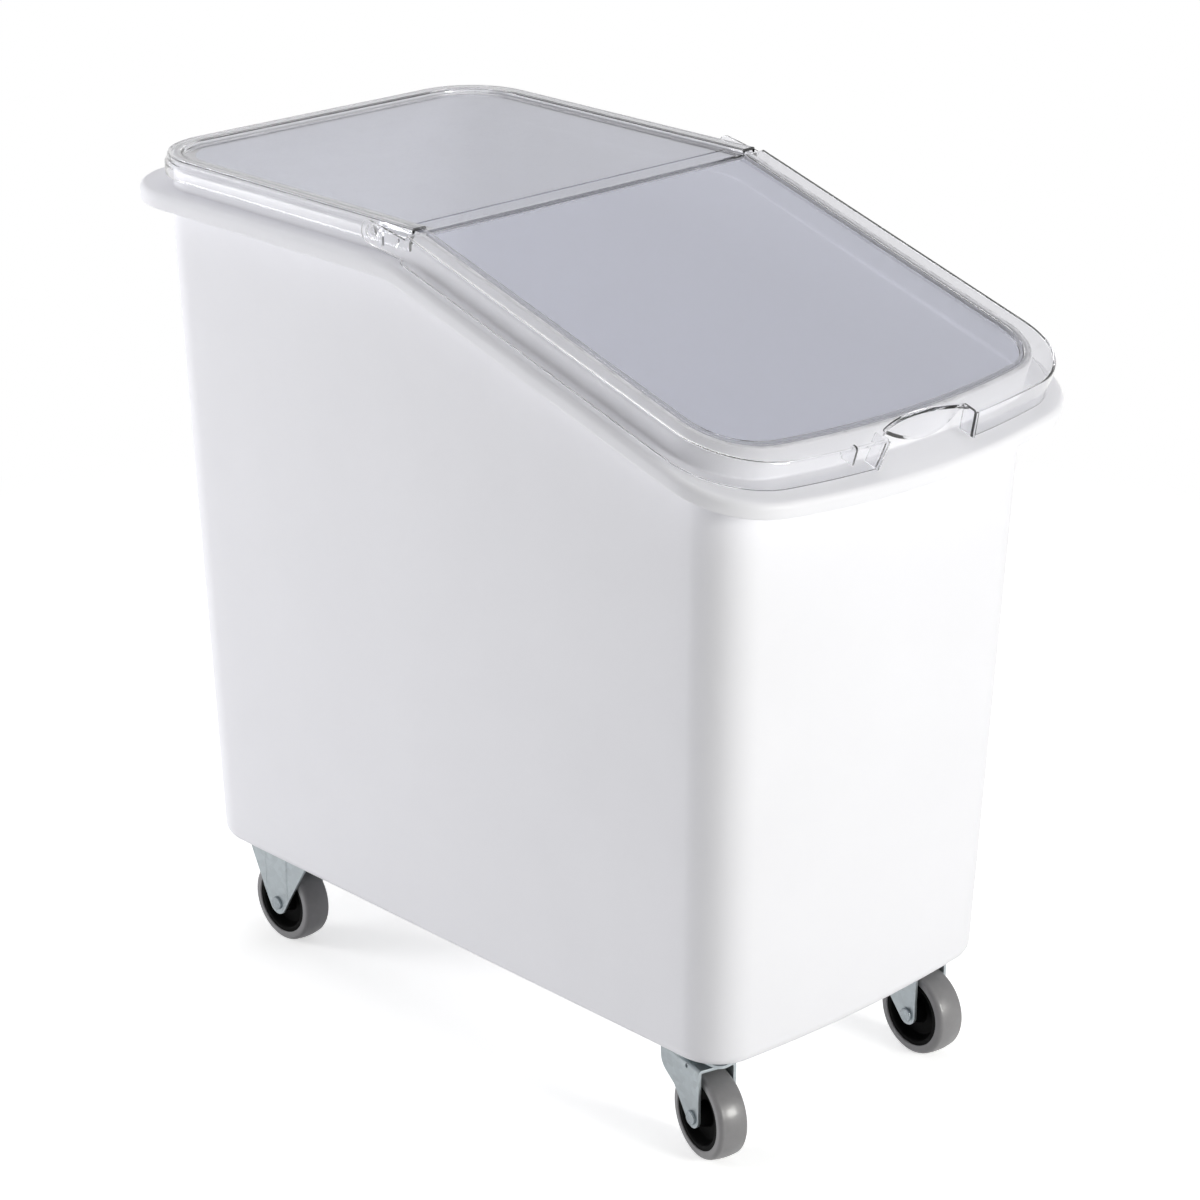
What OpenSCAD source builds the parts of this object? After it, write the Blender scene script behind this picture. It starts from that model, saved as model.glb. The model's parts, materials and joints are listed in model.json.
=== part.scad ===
// Wheeled ingredient bin: drafted tub with a sloping front, clear two-piece lid and four plate casters.
// Millimetres, +Z up. The front of the bin faces -Y. The origin is on the floor under the middle of the rim.

/* [Tub] */
// Length of the tub's underside
base_len = 640.4; // [560:1:720]
// Width of the tub's underside
base_wid = 324.9; // [290:1:380]
// Corner radius of the walls in plan
base_corner = 41; // [36:1:46]
// Radius of the gentle forward bow of the front wall
base_bow = 1250; // [900:10:2000]
// Radius of the edge between underside and walls
base_edge = 12; // [8:1:16]
// Radius of the edge between floor and walls inside
floor_edge = 5; // [4:0.5:6]
// Draft of the walls in degrees
draft = 1.888; // [1:0.1:3]
// Wall thickness
wall_t = 4.5; // [3.5:0.5:6]
// Floor thickness
floor_t = 5; // [4:0.5:8]
// Height of the rim's top face at the rear
rim_z = 688.5; // [600:1:760]
// How far the rim stands out from the wall at the sides
over_side = 24; // [20:0.5:30]
// How far the rim stands out from the wall at the rear
over_rear = 32.5; // [28:0.5:40]
// How far the rim stands out from the wall at the front
over_front = 35; // [33:0.5:42]
// Corner radius of the rim in plan
rim_corner = 74; // [66:1:84]
// Corner radius of the rim's sloping front
rim_front_corner = 70; // [60:1:78]
// Radius of the bow of the rim's front
rim_bow = 780; // [600:10:1400]
// Depth of the rim's turned-down lip
lip_h = 13.5; // [11:0.5:20]
// Rounding of the rim's upper outer edge
lip_round = 5; // [3:0.5:5.5]
// Position of the crease between flat and sloping rim, from the middle
break_y = 13; // [-60:1:60]
// Slope of the front half of the rim and lid in degrees
slope = 16.7; // [10:0.1:22]
// Radius of the bend at the crease
bend_r = 120; // [60:5:200]
// Height of the neck that stands on the rim inside the lids
neck_h = 25; // [22:0.5:32]

/* [Lids] */
// Thickness of the clear lids
lid_t = 2.5; // [2:0.25:3.5]
// How far the rear lid's skirt stands out from the wall line at the sides
lid_out_side = 10.7; // [9:0.1:14]
// How far the rear lid's skirt stands out from the wall line at the rear
lid_out_rear = 8.8; // [8.4:0.1:14]
// Corner radius of the rear lid
lid_corner = 65; // [58:1:72]
// Depth of the rear lid's skirt
rear_skirt = 17.7; // [16.5:0.1:22]
// Height of the upper, inset part of the rear lid's skirt
skirt_upper = 5; // [4:0.5:5]
// Inset of that upper part
skirt_step = 2.3; // [1:0.1:3]
// Gap between the neck and the lids' channel on each side
neck_gap = 2.5; // [1.5:0.1:4]
// Depth of the panels below the raised borders
panel_drop = 4; // [2:0.5:5]
// Depth of the front lid's skirt, square to the lid
front_skirt = 24.7; // [22:0.1:26]
// Gap between the rear lid's skirt and the ears of the front lid
ear_gap = 4.7; // [3:0.1:7]
// Reach of the clear panel down the slope from the crease
panel_reach = 359.3; // [330:0.5:366]
// Corner radius of the clear panel
panel_corner = 49.5; // [40:0.5:60]
// Radius of the bow of the lid's front
lid_bow = 900; // [700:10:1500]
// Room for fingers between the neck and the front skirt
finger_room = 17.8; // [14:0.1:19]
// Corner radius of the front lid
front_corner = 72; // [64:1:80]
// Gap from the crease line to the rear edge of the front lid, down the slope
front_start = 8; // [6:0.5:14]
// How far the rear lid's flat panel runs past the crease to its front edge
rear_end = 12; // [9:0.5:13]

/* [Lid hinge] */
// Distance of the hinge axis behind the crease
hinge_back = 28; // [22:1:40]
// Height of the hinge axis above the rim
hinge_up = 18.5; // [18:0.1:19]
// Diameter of the hinge pegs
peg_d = 6; // [5:0.1:6.4]
// Radial clearance of a peg in its hole
peg_fit = 0.08; // [0.05:0.01:0.1]
// Radius of the rounded end of each ear
ear_r = 9.5; // [8:0.5:11]
// Diameter of the collar round each peg
collar_d = 11; // [9:0.5:12]
// End play between collar and rear lid
collar_play = 0.4; // [0.3:0.1:1]

/* [Finger pull] */
// Width of the notch at the foot of the front skirt
notch_w = 107; // [90:1:120]
// Width of the notch at the lid's face
notch_top_w = 98; // [84:1:110]
// Depth of the arch from the lid's front edge
notch_deep = 19; // [16:0.5:20]
// Radius of the arch in plan
arch_r = 124; // [110:1:150]
// Length of the dished lip from the arch forward
lip_reach = 13; // [10:0.5:14]
// Radius of the lip's front edge in plan
lip_edge_r = 150; // [120:5:200]
// Slope radius of the dish below the lid's face
dish_rise = 147; // [120:1:180]

/* [Casters] */
// Wheel diameter
wheel_d = 75; // [70:0.5:90]
// Clear height between the wheels and the crowns of the forks
wheel_room = 5; // [4.5:0.5:23]
// Tread width
tread_w = 26; // [22:0.5:27]
// Rounding of the tread's shoulders
tread_round = 4; // [2:0.5:6]
// Diameter of the hub under the tread
hub_d = 58; // [50:0.5:62]
// Thickness of the hub's web
web_t = 8; // [6:0.5:12]
// Inner diameter of the hub's rim
hub_dish_d = 49; // [40:0.5:49]
// Diameter of the hub's boss
boss_d = 18; // [15:0.5:22]
// Diameter of the axle
axle_d = 8; // [6:0.1:10]
// Radial clearance of the hub on the axle
axle_fit = 0.05; // [0.03:0.01:0.1]
// Diameter of the domed axle heads
axle_head_d = 12; // [11:0.5:14]
// Height of the domed axle heads
axle_head_h = 3; // [2:0.5:4]
// Clear width between the fork's legs
fork_gap = 30; // [29:0.5:32]
// Thickness of the pressed steel of forks and plates
steel_t = 2.5; // [2:0.1:3]
// End play of the hub between the legs
hub_play = 0.3; // [0.3:0.05:0.5]
// Distance of the casters in from the sides of the underside
caster_side_in = 37.45; // [36.5:0.05:52]
// Distance of the front casters' swivel axes in from the front end of the underside
caster_front_in = 68.95; // [68.95:0.05:118]
// Distance of the rear axles in from the rear end of the underside
caster_rear_in = 70.45; // [67.5:0.05:120]
// Length of the caster plates
plate_len = 100; // [99:1:106]
// Width of the caster plates
plate_wid = 44; // [42:1:46]
// Corner radius of the caster plates
plate_corner = 8; // [4:1:9]
// Offset of the front wheels' axle from the swivel axis
trail = 27; // [22:0.5:32]
// Turn of the front left caster in degrees
turn_left = -14; // [-30:1:30]
// Turn of the front right caster in degrees
turn_right = -5; // [-30:1:30]
// Radius of the tip of the fork's legs
leg_tip_r = 9; // [8:0.5:9.5]
// Distance of the knee in the fork's rear edge behind the axle
knee_back = 24.5; // [20:0.5:27]
// Height of that knee above the axle
knee_up = 24; // [20:0.5:28]
// Sweep of the rounded tip of the fork's legs in degrees
tip_sweep = 138; // [130:1:145]
// Radius of the tip of the rear brackets' legs
bracket_tip_r = 10.5; // [8.5:0.5:12]
// Half width of the rear brackets' legs at the top
bracket_half = 37; // [32:0.5:37]
// Height above the axle where the rear brackets' legs begin to narrow
bracket_waist = 44; // [40:0.5:46]
// Angle of the narrowing edges round the tip of a rear bracket's leg
bracket_lean = 34; // [28:1:40]
// Half width of the pressed middle of the rear brackets' legs
swage_half = 14.5; // [9:0.5:16]
// Height of that pressing
swage_t = 0.9; // [0.6:0.1:1.4]

/* [Swivel bearing] */
// Diameter of the bearing balls
ball_d = 5; // [4:0.1:5.4]
// Number of balls in each swivel bearing
ball_count = 14; // [8:1:16]
// Diameter of the circle of balls
race_d = 28; // [27:0.5:30]
// Width of the raceway rings
race_w = 8; // [7:0.5:9]
// Running clearance of the balls in the lower raceway
race_fit = 0.05; // [0.03:0.01:0.1]
// Thickness of the raceway rings
race_t = 2.6; // [2.2:0.1:3]
// Depth of the balls in each raceway ring
ball_sink = 1.6; // [1.3:0.1:1.8]
// Diameter of the king pin
pin_d = 9; // [7:0.1:10]
// Radial clearance of the fork on the king pin
pin_fit = 0.08; // [0.05:0.01:0.1]
// Diameter of the king pin's lower head
pin_head_d = 15; // [13:0.5:17]
// Height of the king pin's lower head
pin_head_h = 2.5; // [2:0.1:3]
// End play between the king pin's head and the fork
pin_play = 0.1; // [0.05:0.05:0.3]

/* [Fasteners] */
// Diameter of the caster bolts
bolt_d = 6; // [5:0.1:6.4]
// Radial clearance of the bolt holes
bolt_fit = 0.25; // [0.2:0.05:0.4]
// Spacing of the bolts along the plates
bolt_len = 74; // [72:0.5:84]
// Spacing of the bolts across the plates
bolt_wid = 17; // [15:0.5:17.5]
// Diameter of the bolt heads
bolt_head_d = 10.5; // [10:0.1:11]
// Height of the bolt heads
bolt_head_h = 3.4; // [2.5:0.1:4]
// Thread left below each nut
bolt_tail = 1.2; // [0.5:0.1:2]
// Width of the nuts across flats
nut_af = 10; // [9:0.1:10.4]
// Height of the nuts
nut_h = 5; // [4:0.1:5.5]
// Diameter of the washers
washer_d = 11.5; // [11:0.1:12]
// Thickness of the washers
washer_t = 1.5; // [1:0.1:2]

/* [Hidden] */
$fn = 72;
bow_fn = 720;
eps = 0.02;

// Heights from the wheel up through crown, bearing and plate to the underside and the floor of the tub.
axle_z = wheel_d / 2;
crown_z = wheel_d + wheel_room;
crown_top = crown_z + steel_t;
ball_z = crown_top + race_t - ball_sink + ball_d / 2;
plate_z = ball_z + ball_d / 2 - ball_sink + race_t;
base_z = plate_z + steel_t;
floor_z = base_z + floor_t;

rise = hundredth((rim_z - base_z) * tan(draft));
tub_y = hundredth((over_front - over_rear) / 2);
wall_half = hundredth(base_wid / 2) + rise;
wall_rear = hundredth(tub_y + base_len / 2) + rise;
rim_half = wall_half + over_side;
rim_rear = wall_rear + over_rear;
plate_t = wall_t;
lip_in = lip_round + 1;
lip_t = wall_t - 0.5;
plate_edge = (lip_in + lip_round) / 2;

lid_half = wall_half + lid_out_side;
lid_rear = wall_rear + lid_out_rear;
neck_out = skirt_step + lid_t + neck_gap;
border = neck_out + wall_t + neck_gap + lid_t;
neck_half = lid_half - neck_out;
panel_half = lid_half - border;
front_half = lid_half + ear_gap + lid_t;
lid_up = neck_h + lid_t;
rear_lid_y = break_y - rear_end;
neck_reach = panel_reach + lid_t + neck_gap + wall_t;
front_reach = neck_reach + finger_room + lid_t;
rim_reach = hundredth((break_y + rim_rear + lip_round * (cos(slope) + sin(slope) - 1)) / cos(slope));
bend_run = hundredth(bend_r * tan(slope / 2));
hinge_y = break_y + hinge_back;
hinge_z = rim_z + hinge_up;

caster_x = hundredth(base_wid / 2 - caster_side_in);
caster_front = hundredth(base_len / 2 - tub_y - caster_front_in);
caster_rear = hundredth(base_len / 2 + tub_y - caster_rear_in);
leg_in = fork_gap / 2;
leg_out = leg_in + steel_t;

// Plans are [half width, rear, front, rear corner, front corner, bow radius] of an outline.
tub_plan = [wall_half - rise, wall_rear - rise, tub_y - base_len / 2, base_corner, base_corner, base_bow];
rim_plan = [rim_half, rim_rear, -rim_reach, rim_corner, rim_front_corner, rim_bow];
lid_plan = [lid_half, lid_rear, 0, lid_corner, lid_corner, lid_bow];
panel_plan = [panel_half, 0, -panel_reach, panel_corner, panel_corner, lid_bow];
front_plan = [front_half, 0, -front_reach, front_corner, front_corner, lid_bow];

// Lengths and angles along an outline are whole hundredths, so that neighbouring runs meet exactly.
function hundredth(x) = round(x * 100) / 100;
function grown(p, d) = [p[0] + d, p[1] + d, p[2] - d, p[3] + d, p[4] + d, p[5] + d];
function bow_turn(p) = hundredth(acos((p[0] - p[4]) / (p[5] - p[4])));
function bow_r(p) = p[4] + (p[0] - p[4]) / cos(bow_turn(p));
function front_y(p) = hundredth(p[2] + bow_r(p) - (p[0] - p[4]) * tan(bow_turn(p)));
function bow_y(p) = front_y(p) + (p[0] - p[4]) * tan(bow_turn(p));
function arc(r, from, to, steps) =
    [for (i = [0:steps]) let (a = from + (to - from) * i / steps) r * [cos(a), sin(a)]];
function moved(points, by) = [for (q = points) q + by];
function down_slope(v, up) =
    [break_y - v * cos(slope) - up * sin(slope), rim_z - v * sin(slope) + up * cos(slope)];

// Sweeps a section, x outward and y up, along the two straight sides of an outline.
module side_runs(half, from, to) {
    for (side = [0, 1])
        mirror([side, 0, 0])
            translate([half, to, 0])
                rotate([90, 0, 0])
                    linear_extrude(to - from) children();
}

// Sweeps a section round the rear of an outline, starting at a given y on both sides.
module rear_run(p, from) {
    side_runs(p[0], from, p[1] - p[3]) children();
    for (side = [0, 1])
        mirror([side, 0, 0])
            translate([p[0] - p[3], p[1] - p[3], 0])
                rotate_extrude(angle = 90) translate([p[3], 0]) children();
    translate([-(p[0] - p[3]), p[1], 0])
        rotate([90, 0, 90])
            linear_extrude(2 * (p[0] - p[3])) children();
}

// Sweeps a section round the front corners of an outline.
module front_corners(p) {
    for (side = [0, 1])
        mirror([side, 0, 0])
            translate([p[0] - p[4], front_y(p), 0])
                rotate_extrude(start = -bow_turn(p), angle = bow_turn(p)) translate([p[4], 0]) children();
}

// Moves children in two steps, whole hundredths first, so that a long move keeps all its digits.
module long_move(x, y) {
    translate([hundredth(x), hundredth(y)]) translate([x - hundredth(x), y - hundredth(y)]) children();
}

// Sweeps a section along the bowed front of an outline.
module bow_run(p) {
    long_move(0, bow_y(p))
        rotate_extrude(start = 180 + bow_turn(p), angle = 180 - 2 * bow_turn(p), $fn = bow_fn)
            long_move(bow_r(p), 0) children();
}

// Sweeps a section round the front of an outline, starting at a given y on both sides.
module front_run(p, from) {
    side_runs(p[0], front_y(p), from) children();
    front_corners(p) children();
    bow_run(p) children();
}

// Points round the rear half of an outline, from the right side to the left.
function rear_points(p, steps) = concat(
    moved(arc(p[3], 0, 90, steps), [p[0] - p[3], p[1] - p[3]]),
    moved(arc(p[3], 90, 180, steps), [p[3] - p[0], p[1] - p[3]]));

// Points round the front half of an outline, from the left side to the right.
function front_points(p, steps, bow_steps) = concat(
    moved(arc(p[4], 180, 180 + bow_turn(p), steps), [p[4] - p[0], front_y(p)]),
    [for (i = [1:bow_steps - 1])
        let (a = 180 + bow_turn(p) + (180 - 2 * bow_turn(p)) * i / bow_steps)
            [0, bow_y(p)] + bow_r(p) * [cos(a), sin(a)]],
    moved(arc(p[4], -bow_turn(p), 0, steps), [p[0] - p[4], front_y(p)]));

// Plate that fills the rear of an outline.
module rear_fill(p, from, low, high) {
    translate([0, 0, low])
        linear_extrude(high - low) polygon(concat([[p[0], from]], rear_points(p, 12), [[-p[0], from]]));
}

// Plate that fills the front of an outline.
module front_fill(p, from, low, high) {
    translate([0, 0, low])
        linear_extrude(high - low) polygon(concat([[-p[0], from]], front_points(p, 12, 24), [[p[0], from]]));
}

// Plan of the walls at a height: the corners keep their radius while the draft moves them outward.
function wall_plan(inset, z) =
    let (d = (z - base_z) * tan(draft))
        [tub_plan[0] + d - inset, tub_plan[1] + d - inset, tub_plan[2] - d + inset,
         base_corner - inset, base_corner - inset, base_bow - inset];

// Drafted tub with a rounded lower edge, lofted through outlines from the floor to the top.
module tub_form(inset, low, high, edge) {
    rounding = [for (q = arc(edge, -90, 0, 5)) [q[0] - edge, low + edge + q[1]]];
    levels = concat(rounding, [[0, high]]);
    rings = [for (l = levels)
        let (plan = grown(wall_plan(inset, l[1]), l[0]))
            [for (q = concat(rear_points(plan, 10), front_points(plan, 10, 16))) [q[0], q[1], l[1]]]];
    n = len(rings[0]);
    last = len(rings) - 1;
    polyhedron(
        points = [for (ring = rings) each ring],
        faces = concat(
            [[for (i = [0:n - 1]) i]],
            [for (k = [0:last - 1], i = [0:n - 1])
                let (i2 = (i + 1) % n) [k * n + i, (k + 1) * n + i, (k + 1) * n + i2, k * n + i2]],
            [[for (i = [n - 1:-1:0]) last * n + i]]));
}

// Everything above a surface that follows the rim at a given height, for trimming the tub's top.
module above_rim(up) {
    margin = 50;
    far = rim_rear + margin;
    roof = rim_z + neck_h + margin;
    flat = [[far, rim_z + up], [break_y + bend_run, rim_z + up]];
    bend = moved(arc(bend_r + up, 90, 90 + slope, 6), [break_y + bend_run, rim_z - bend_r]);
    sloped = [down_slope(rim_reach + margin, up)];
    translate([-rim_half - margin, 0, 0])
        rotate([90, 0, 90])
            linear_extrude(2 * (rim_half + margin))
                polygon(concat(flat, bend, sloped, [[-far - margin, roof], [far, roof]]));
}

// Section of the rim's turned-down lip; x is measured from the rim's outer edge.
module lip_section() {
    foot = lip_t / 2;
    polygon(concat(
        moved(arc(lip_round, 0, 90, 4), [-lip_round, -lip_round]),
        [[-lip_in, 0], [-lip_in, -plate_t], [-lip_t - 1, -plate_t], [-lip_t, -plate_t - 1]],
        moved(arc(foot, 180, 360, 6), [-foot, foot - lip_h])));
}

// Section of the neck; x is measured from its outer face.
module neck_section() {
    round = 1.5;
    polygon(concat(
        [[-wall_t, -plate_t], [0, -plate_t]],
        moved(arc(round, 0, 90, 3), [-round, neck_h - round]),
        moved(arc(round, 90, 180, 3), [round - wall_t, neck_h - round])));
}

// Whole rim section across one straight side; x is measured from the middle of the bin.
module side_section() {
    translate([rim_half, 0]) lip_section();
    translate([neck_half, 0]) neck_section();
    translate([wall_half - 2 * wall_t, -plate_t]) square([over_side + 2 * wall_t - lip_in, plate_t]);
}

// Places children in the plane of the sloping front: y runs up the slope, z is the height over the rim.
module on_slope() {
    translate([0, break_y, rim_z]) rotate([slope, 0, 0]) children();
}

module rim_flat() {
    start = break_y + bend_run;
    translate([0, 0, rim_z]) {
        rear_run(rim_plan, start) lip_section();
        rear_fill(grown(rim_plan, -plate_edge), start, -plate_t, 0);
        rear_run(grown(lid_plan, -neck_out), start) neck_section();
    }
}

module rim_bend() {
    for (side = [0, 1])
        mirror([side, 0, 0])
            translate([0, break_y + bend_run, rim_z - bend_r])
                rotate(a = 180, v = [1, 0, 1])
                    rotate_extrude(angle = slope, $fn = bow_fn)
                        translate([bend_r, 0]) mirror([1, -1, 0]) side_section();
}

module rim_slope() {
    on_slope() {
        front_run(rim_plan, -bend_run) lip_section();
        front_fill(grown(rim_plan, -plate_edge), -bend_run, -plate_t, 0);
        front_run(grown(panel_plan, panel_out()), -bend_run) neck_section();
    }
}

// Distance from the clear panel's edge to the outer face of the neck.
function panel_out() = lid_t + neck_gap + wall_t;

// Places children at each bolt of each caster.
module at_bolts() {
    for (x = [-caster_x, caster_x], y = [-caster_front, caster_rear], bx = [-1, 1], by = [-1, 1])
        translate([x + bx * bolt_wid / 2, y + by * bolt_len / 2, 0]) children();
}

// Moulded white tub with its rim and neck.
module bin_body() {
    color("White")
        difference() {
            union() {
                difference() {
                    tub_form(0, base_z, rim_z + 1, base_edge);
                    above_rim(-plate_t / 2);
                }
                rim_flat();
                rim_bend();
                rim_slope();
            }
            difference() {
                tub_form(wall_t, floor_z, rim_z + neck_h, floor_edge);
                above_rim(1);
            }
            at_bolts() translate([0, 0, base_z - 1]) cylinder(d = bolt_d + 2 * bolt_fit, h = floor_t + 2);
        }
}

// Section of the rear lid's border: stepped skirt, raised channel and inner wall.
module rear_border() {
    round = lid_t;
    inner = lid_t + skirt_step;
    polygon(concat(
        [[-lid_t, -rear_skirt], [0, -rear_skirt], [0, -skirt_upper - lid_t], [-skirt_step, -skirt_upper]],
        moved(arc(round, 0, 90, 4), [-skirt_step - round, -round]),
        moved(arc(round, 90, 180, 4), [round - border, -round]),
        [[-border, -panel_drop - lid_t], [lid_t - border, -panel_drop - lid_t], [lid_t - border, -lid_t],
         [-inner, -lid_t], [-inner, -skirt_upper - lid_t], [-lid_t, -skirt_upper - 2 * lid_t]]));
}

// Clear flat lid over the rear half, with holes for the front lid's pegs.
module rear_lid() {
    color([0.86, 0.88, 0.9, 0.45])
        difference() {
            translate([0, 0, rim_z + lid_up]) {
                rear_run(lid_plan, rear_lid_y) rear_border();
                rear_fill(grown(lid_plan, lid_t / 2 - border), rear_lid_y, -panel_drop - lid_t, -panel_drop);
            }
            for (side = [0, 1])
                mirror([side, 0, 0])
                    translate([neck_half, hinge_y, hinge_z])
                        rotate([0, 90, 0]) cylinder(d = peg_d + 2 * peg_fit, h = neck_out + 5);
        }
}

// Section of the front lid's outer skirt.
module front_skirt_section() {
    round = lid_t + 0.5;
    polygon(concat(
        [[-lid_t, -front_skirt], [0, -front_skirt]],
        moved(arc(round, 0, 90, 4), [-round, -round]),
        [[-2 * lid_t, 0], [-2 * lid_t, -lid_t], [-lid_t, -lid_t]]));
}

// Section of the wall between the front lid's raised border and its panel.
module front_inner_section() {
    polygon([[0, 0], [lid_t, 0], [lid_t, -panel_drop - lid_t], [0, -panel_drop - lid_t]]);
}

// Dished finger lip that bridges the notch, in the plane of the front lid.
module finger_lip() {
    arch_y = -(front_reach - notch_deep + arch_r);
    dish_r = sqrt(arch_r * arch_r + dish_rise * dish_rise);
    edge_y = -(front_reach - notch_deep + lip_reach - lip_edge_r);
    intersection() {
        difference() {
            translate([0, arch_y, dish_rise]) sphere(dish_r + lid_t, $fn = 180);
            translate([0, arch_y, dish_rise]) sphere(dish_r, $fn = 180);
        }
        translate([0, arch_y, -front_skirt]) cylinder(r = arch_r + lid_t, h = front_skirt, $fn = 180);
        translate([0, edge_y, -front_skirt]) cylinder(r = lip_edge_r, h = front_skirt, $fn = 180);
        translate([-notch_w / 2 - lid_t, -front_reach, -front_skirt])
            cube([notch_w + 2 * lid_t, 60, front_skirt]);
    }
}

// Opening of the notch seen from the front, grown by a margin.
module notch_outline(margin) {
    lean = (notch_w - notch_top_w) / 2 / front_skirt;
    top = notch_top_w / 2 - lean + margin;
    foot = notch_w / 2 + lean + margin;
    polygon([[-foot, -front_skirt - 1], [foot, -front_skirt - 1], [top, 1], [-top, 1]]);
}

// Notch through the skirt and border under the finger lip.
module finger_notch() {
    arch_y = -(front_reach - notch_deep + arch_r);
    intersection() {
        translate([0, arch_y, -front_skirt - 1]) cylinder(r = arch_r, h = front_skirt + 2, $fn = 180);
        translate([0, 60 - front_reach, 0]) rotate([90, 0, 0]) linear_extrude(70) notch_outline(0);
    }
}

// Cheeks that close the ends of the notch behind the skirt.
module notch_cheeks() {
    depth = finger_room - 2;
    translate([0, depth - front_reach, 0])
        rotate([90, 0, 0])
            linear_extrude(depth - lid_t / 2)
                intersection() {
                    difference() {
                        notch_outline(lid_t * 0.8);
                        notch_outline(0);
                    }
                    translate([-notch_w, -front_skirt]) square([2 * notch_w, front_skirt - lid_t / 2]);
                }
}

// Ear on one side of the front lid, with its collar and peg.
module lid_ear() {
    root = front_start + 14;
    a = down_slope(root, lid_up - lid_t);
    b = down_slope(root, lid_up - front_skirt + 2 * lid_t);
    translate([front_half - lid_t, 0, 0])
        rotate([90, 0, 90])
            linear_extrude(lid_t)
                hull() {
                    translate([hinge_y, hinge_z]) circle(ear_r);
                    polygon([a, b, a - [lid_t, lid_t]]);
                }
    translate([lid_half + collar_play, hinge_y, hinge_z])
        rotate([0, 90, 0]) cylinder(d = collar_d, h = front_half - lid_half - collar_play - lid_t / 2);
    translate([neck_half + neck_gap / 2, hinge_y, hinge_z])
        rotate([0, 90, 0]) cylinder(d = peg_d, h = front_half - neck_half - neck_gap / 2 - lid_t / 2);
}

// Clear sloping lid over the front half, with ears, pegs and finger pull.
module front_lid() {
    color([0.86, 0.88, 0.9, 0.45]) {
        on_slope() translate([0, 0, lid_up]) {
            difference() {
                union() {
                    front_run(front_plan, -front_start) front_skirt_section();
                    difference() {
                        front_fill(grown(front_plan, -1.5 * lid_t), -front_start, -lid_t, 0);
                        front_fill(grown(panel_plan, lid_t / 2), 0, -lid_t - 1, 1);
                    }
                }
                finger_notch();
            }
            front_run(panel_plan, -front_start) front_inner_section();
            front_fill(grown(panel_plan, lid_t / 2), -front_start, -panel_drop - lid_t, -panel_drop);
            finger_lip();
            notch_cheeks();
        }
        for (side = [0, 1]) mirror([side, 0, 0]) lid_ear();
    }
}

// Caster mounting plate with rounded corners and bolt holes; the top lies at z = 0.
module mount_plate() {
    l = plate_len / 2 - plate_corner;
    w = plate_wid / 2 - plate_corner;
    difference() {
        union() {
            translate([-w, -plate_len / 2, -steel_t]) cube([2 * w, plate_len, steel_t]);
            translate([-plate_wid / 2, -l, -steel_t]) cube([plate_wid, 2 * l, steel_t]);
            for (x = [-w, w], y = [-l, l])
                translate([x, y, -steel_t]) cylinder(r = plate_corner, h = steel_t);
        }
        for (x = [-1, 1], y = [-1, 1])
            translate([x * bolt_wid / 2, y * bolt_len / 2, -steel_t - 1])
                cylinder(d = bolt_d + 2 * bolt_fit, h = steel_t + 2);
    }
}

// Leg of a rear bracket: a wide top that narrows to a rounded tip round the axle.
module bracket_leg_outline() {
    top = plate_z + eps;
    tip = moved(arc(bracket_tip_r, 180 + bracket_lean, 360 - bracket_lean, 10), [0, axle_z]);
    polygon(concat([[bracket_half, top], [-bracket_half, top], [-bracket_half, axle_z + bracket_waist]],
                   tip, [[bracket_half, axle_z + bracket_waist]]));
}

// Pressed middle of a rear bracket's leg.
module bracket_swage_outline() {
    intersection() {
        bracket_leg_outline();
        translate([-swage_half, axle_z + leg_tip_r + 2]) square([2 * swage_half, plate_z]);
    }
}

// Fixed bracket of a rear caster: plate and two pressed legs.
module rear_bracket(x) {
    color("LightSteelBlue")
        translate([x, caster_rear, 0]) {
            translate([0, 0, base_z]) mount_plate();
            difference() {
                union() {
                    for (side = [0, 1]) mirror([side, 0, 0]) {
                        translate([leg_in, 0, 0]) rotate([90, 0, 90])
                            linear_extrude(steel_t) bracket_leg_outline();
                        translate([leg_out - eps, 0, 0]) rotate([90, 0, 90])
                            linear_extrude(swage_t + eps) bracket_swage_outline();
                    }
                }
                translate([-leg_out - 5, 0, axle_z])
                    rotate([0, 90, 0]) cylinder(d = axle_d, h = 2 * leg_out + 10);
            }
        }
}

// Riveted axle with two domed heads, along x at the origin.
module axle_form() {
    r = axle_head_d / 2;
    dome = (r * r + axle_head_h * axle_head_h) / (2 * axle_head_h);
    rotate([0, 90, 0]) translate([0, 0, -leg_out]) cylinder(d = axle_d, h = 2 * leg_out);
    for (side = [0, 1]) mirror([side, 0, 0])
        translate([leg_out, 0, 0]) rotate([0, 90, 0])
            intersection() {
                translate([0, 0, axle_head_h - dome]) sphere(dome);
                cylinder(r = r + 1, h = axle_head_h + 1);
            }
}

// Dished hub with a boss, a web and a rim, along x at the origin.
module hub_form() {
    w = tread_w / 2 - 1;
    boss = leg_in - hub_play;
    rotate([0, 90, 0])
        rotate_extrude()
            polygon([[axle_d / 2 + axle_fit, -boss], [boss_d / 2 - 1, -boss], [boss_d / 2, 1 - boss],
                     [boss_d / 2 + 2, -web_t / 2], [hub_dish_d / 2 - 3, -web_t / 2], [hub_dish_d / 2, 1 - w],
                     [hub_dish_d / 2 + 1, -w], [hub_d / 2, -w], [hub_d / 2, w], [hub_dish_d / 2 + 1, w],
                     [hub_dish_d / 2, w - 1], [hub_dish_d / 2 - 3, web_t / 2], [boss_d / 2 + 2, web_t / 2],
                     [boss_d / 2, boss - 1], [boss_d / 2 - 1, boss], [axle_d / 2 + axle_fit, boss]]);
}

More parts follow.
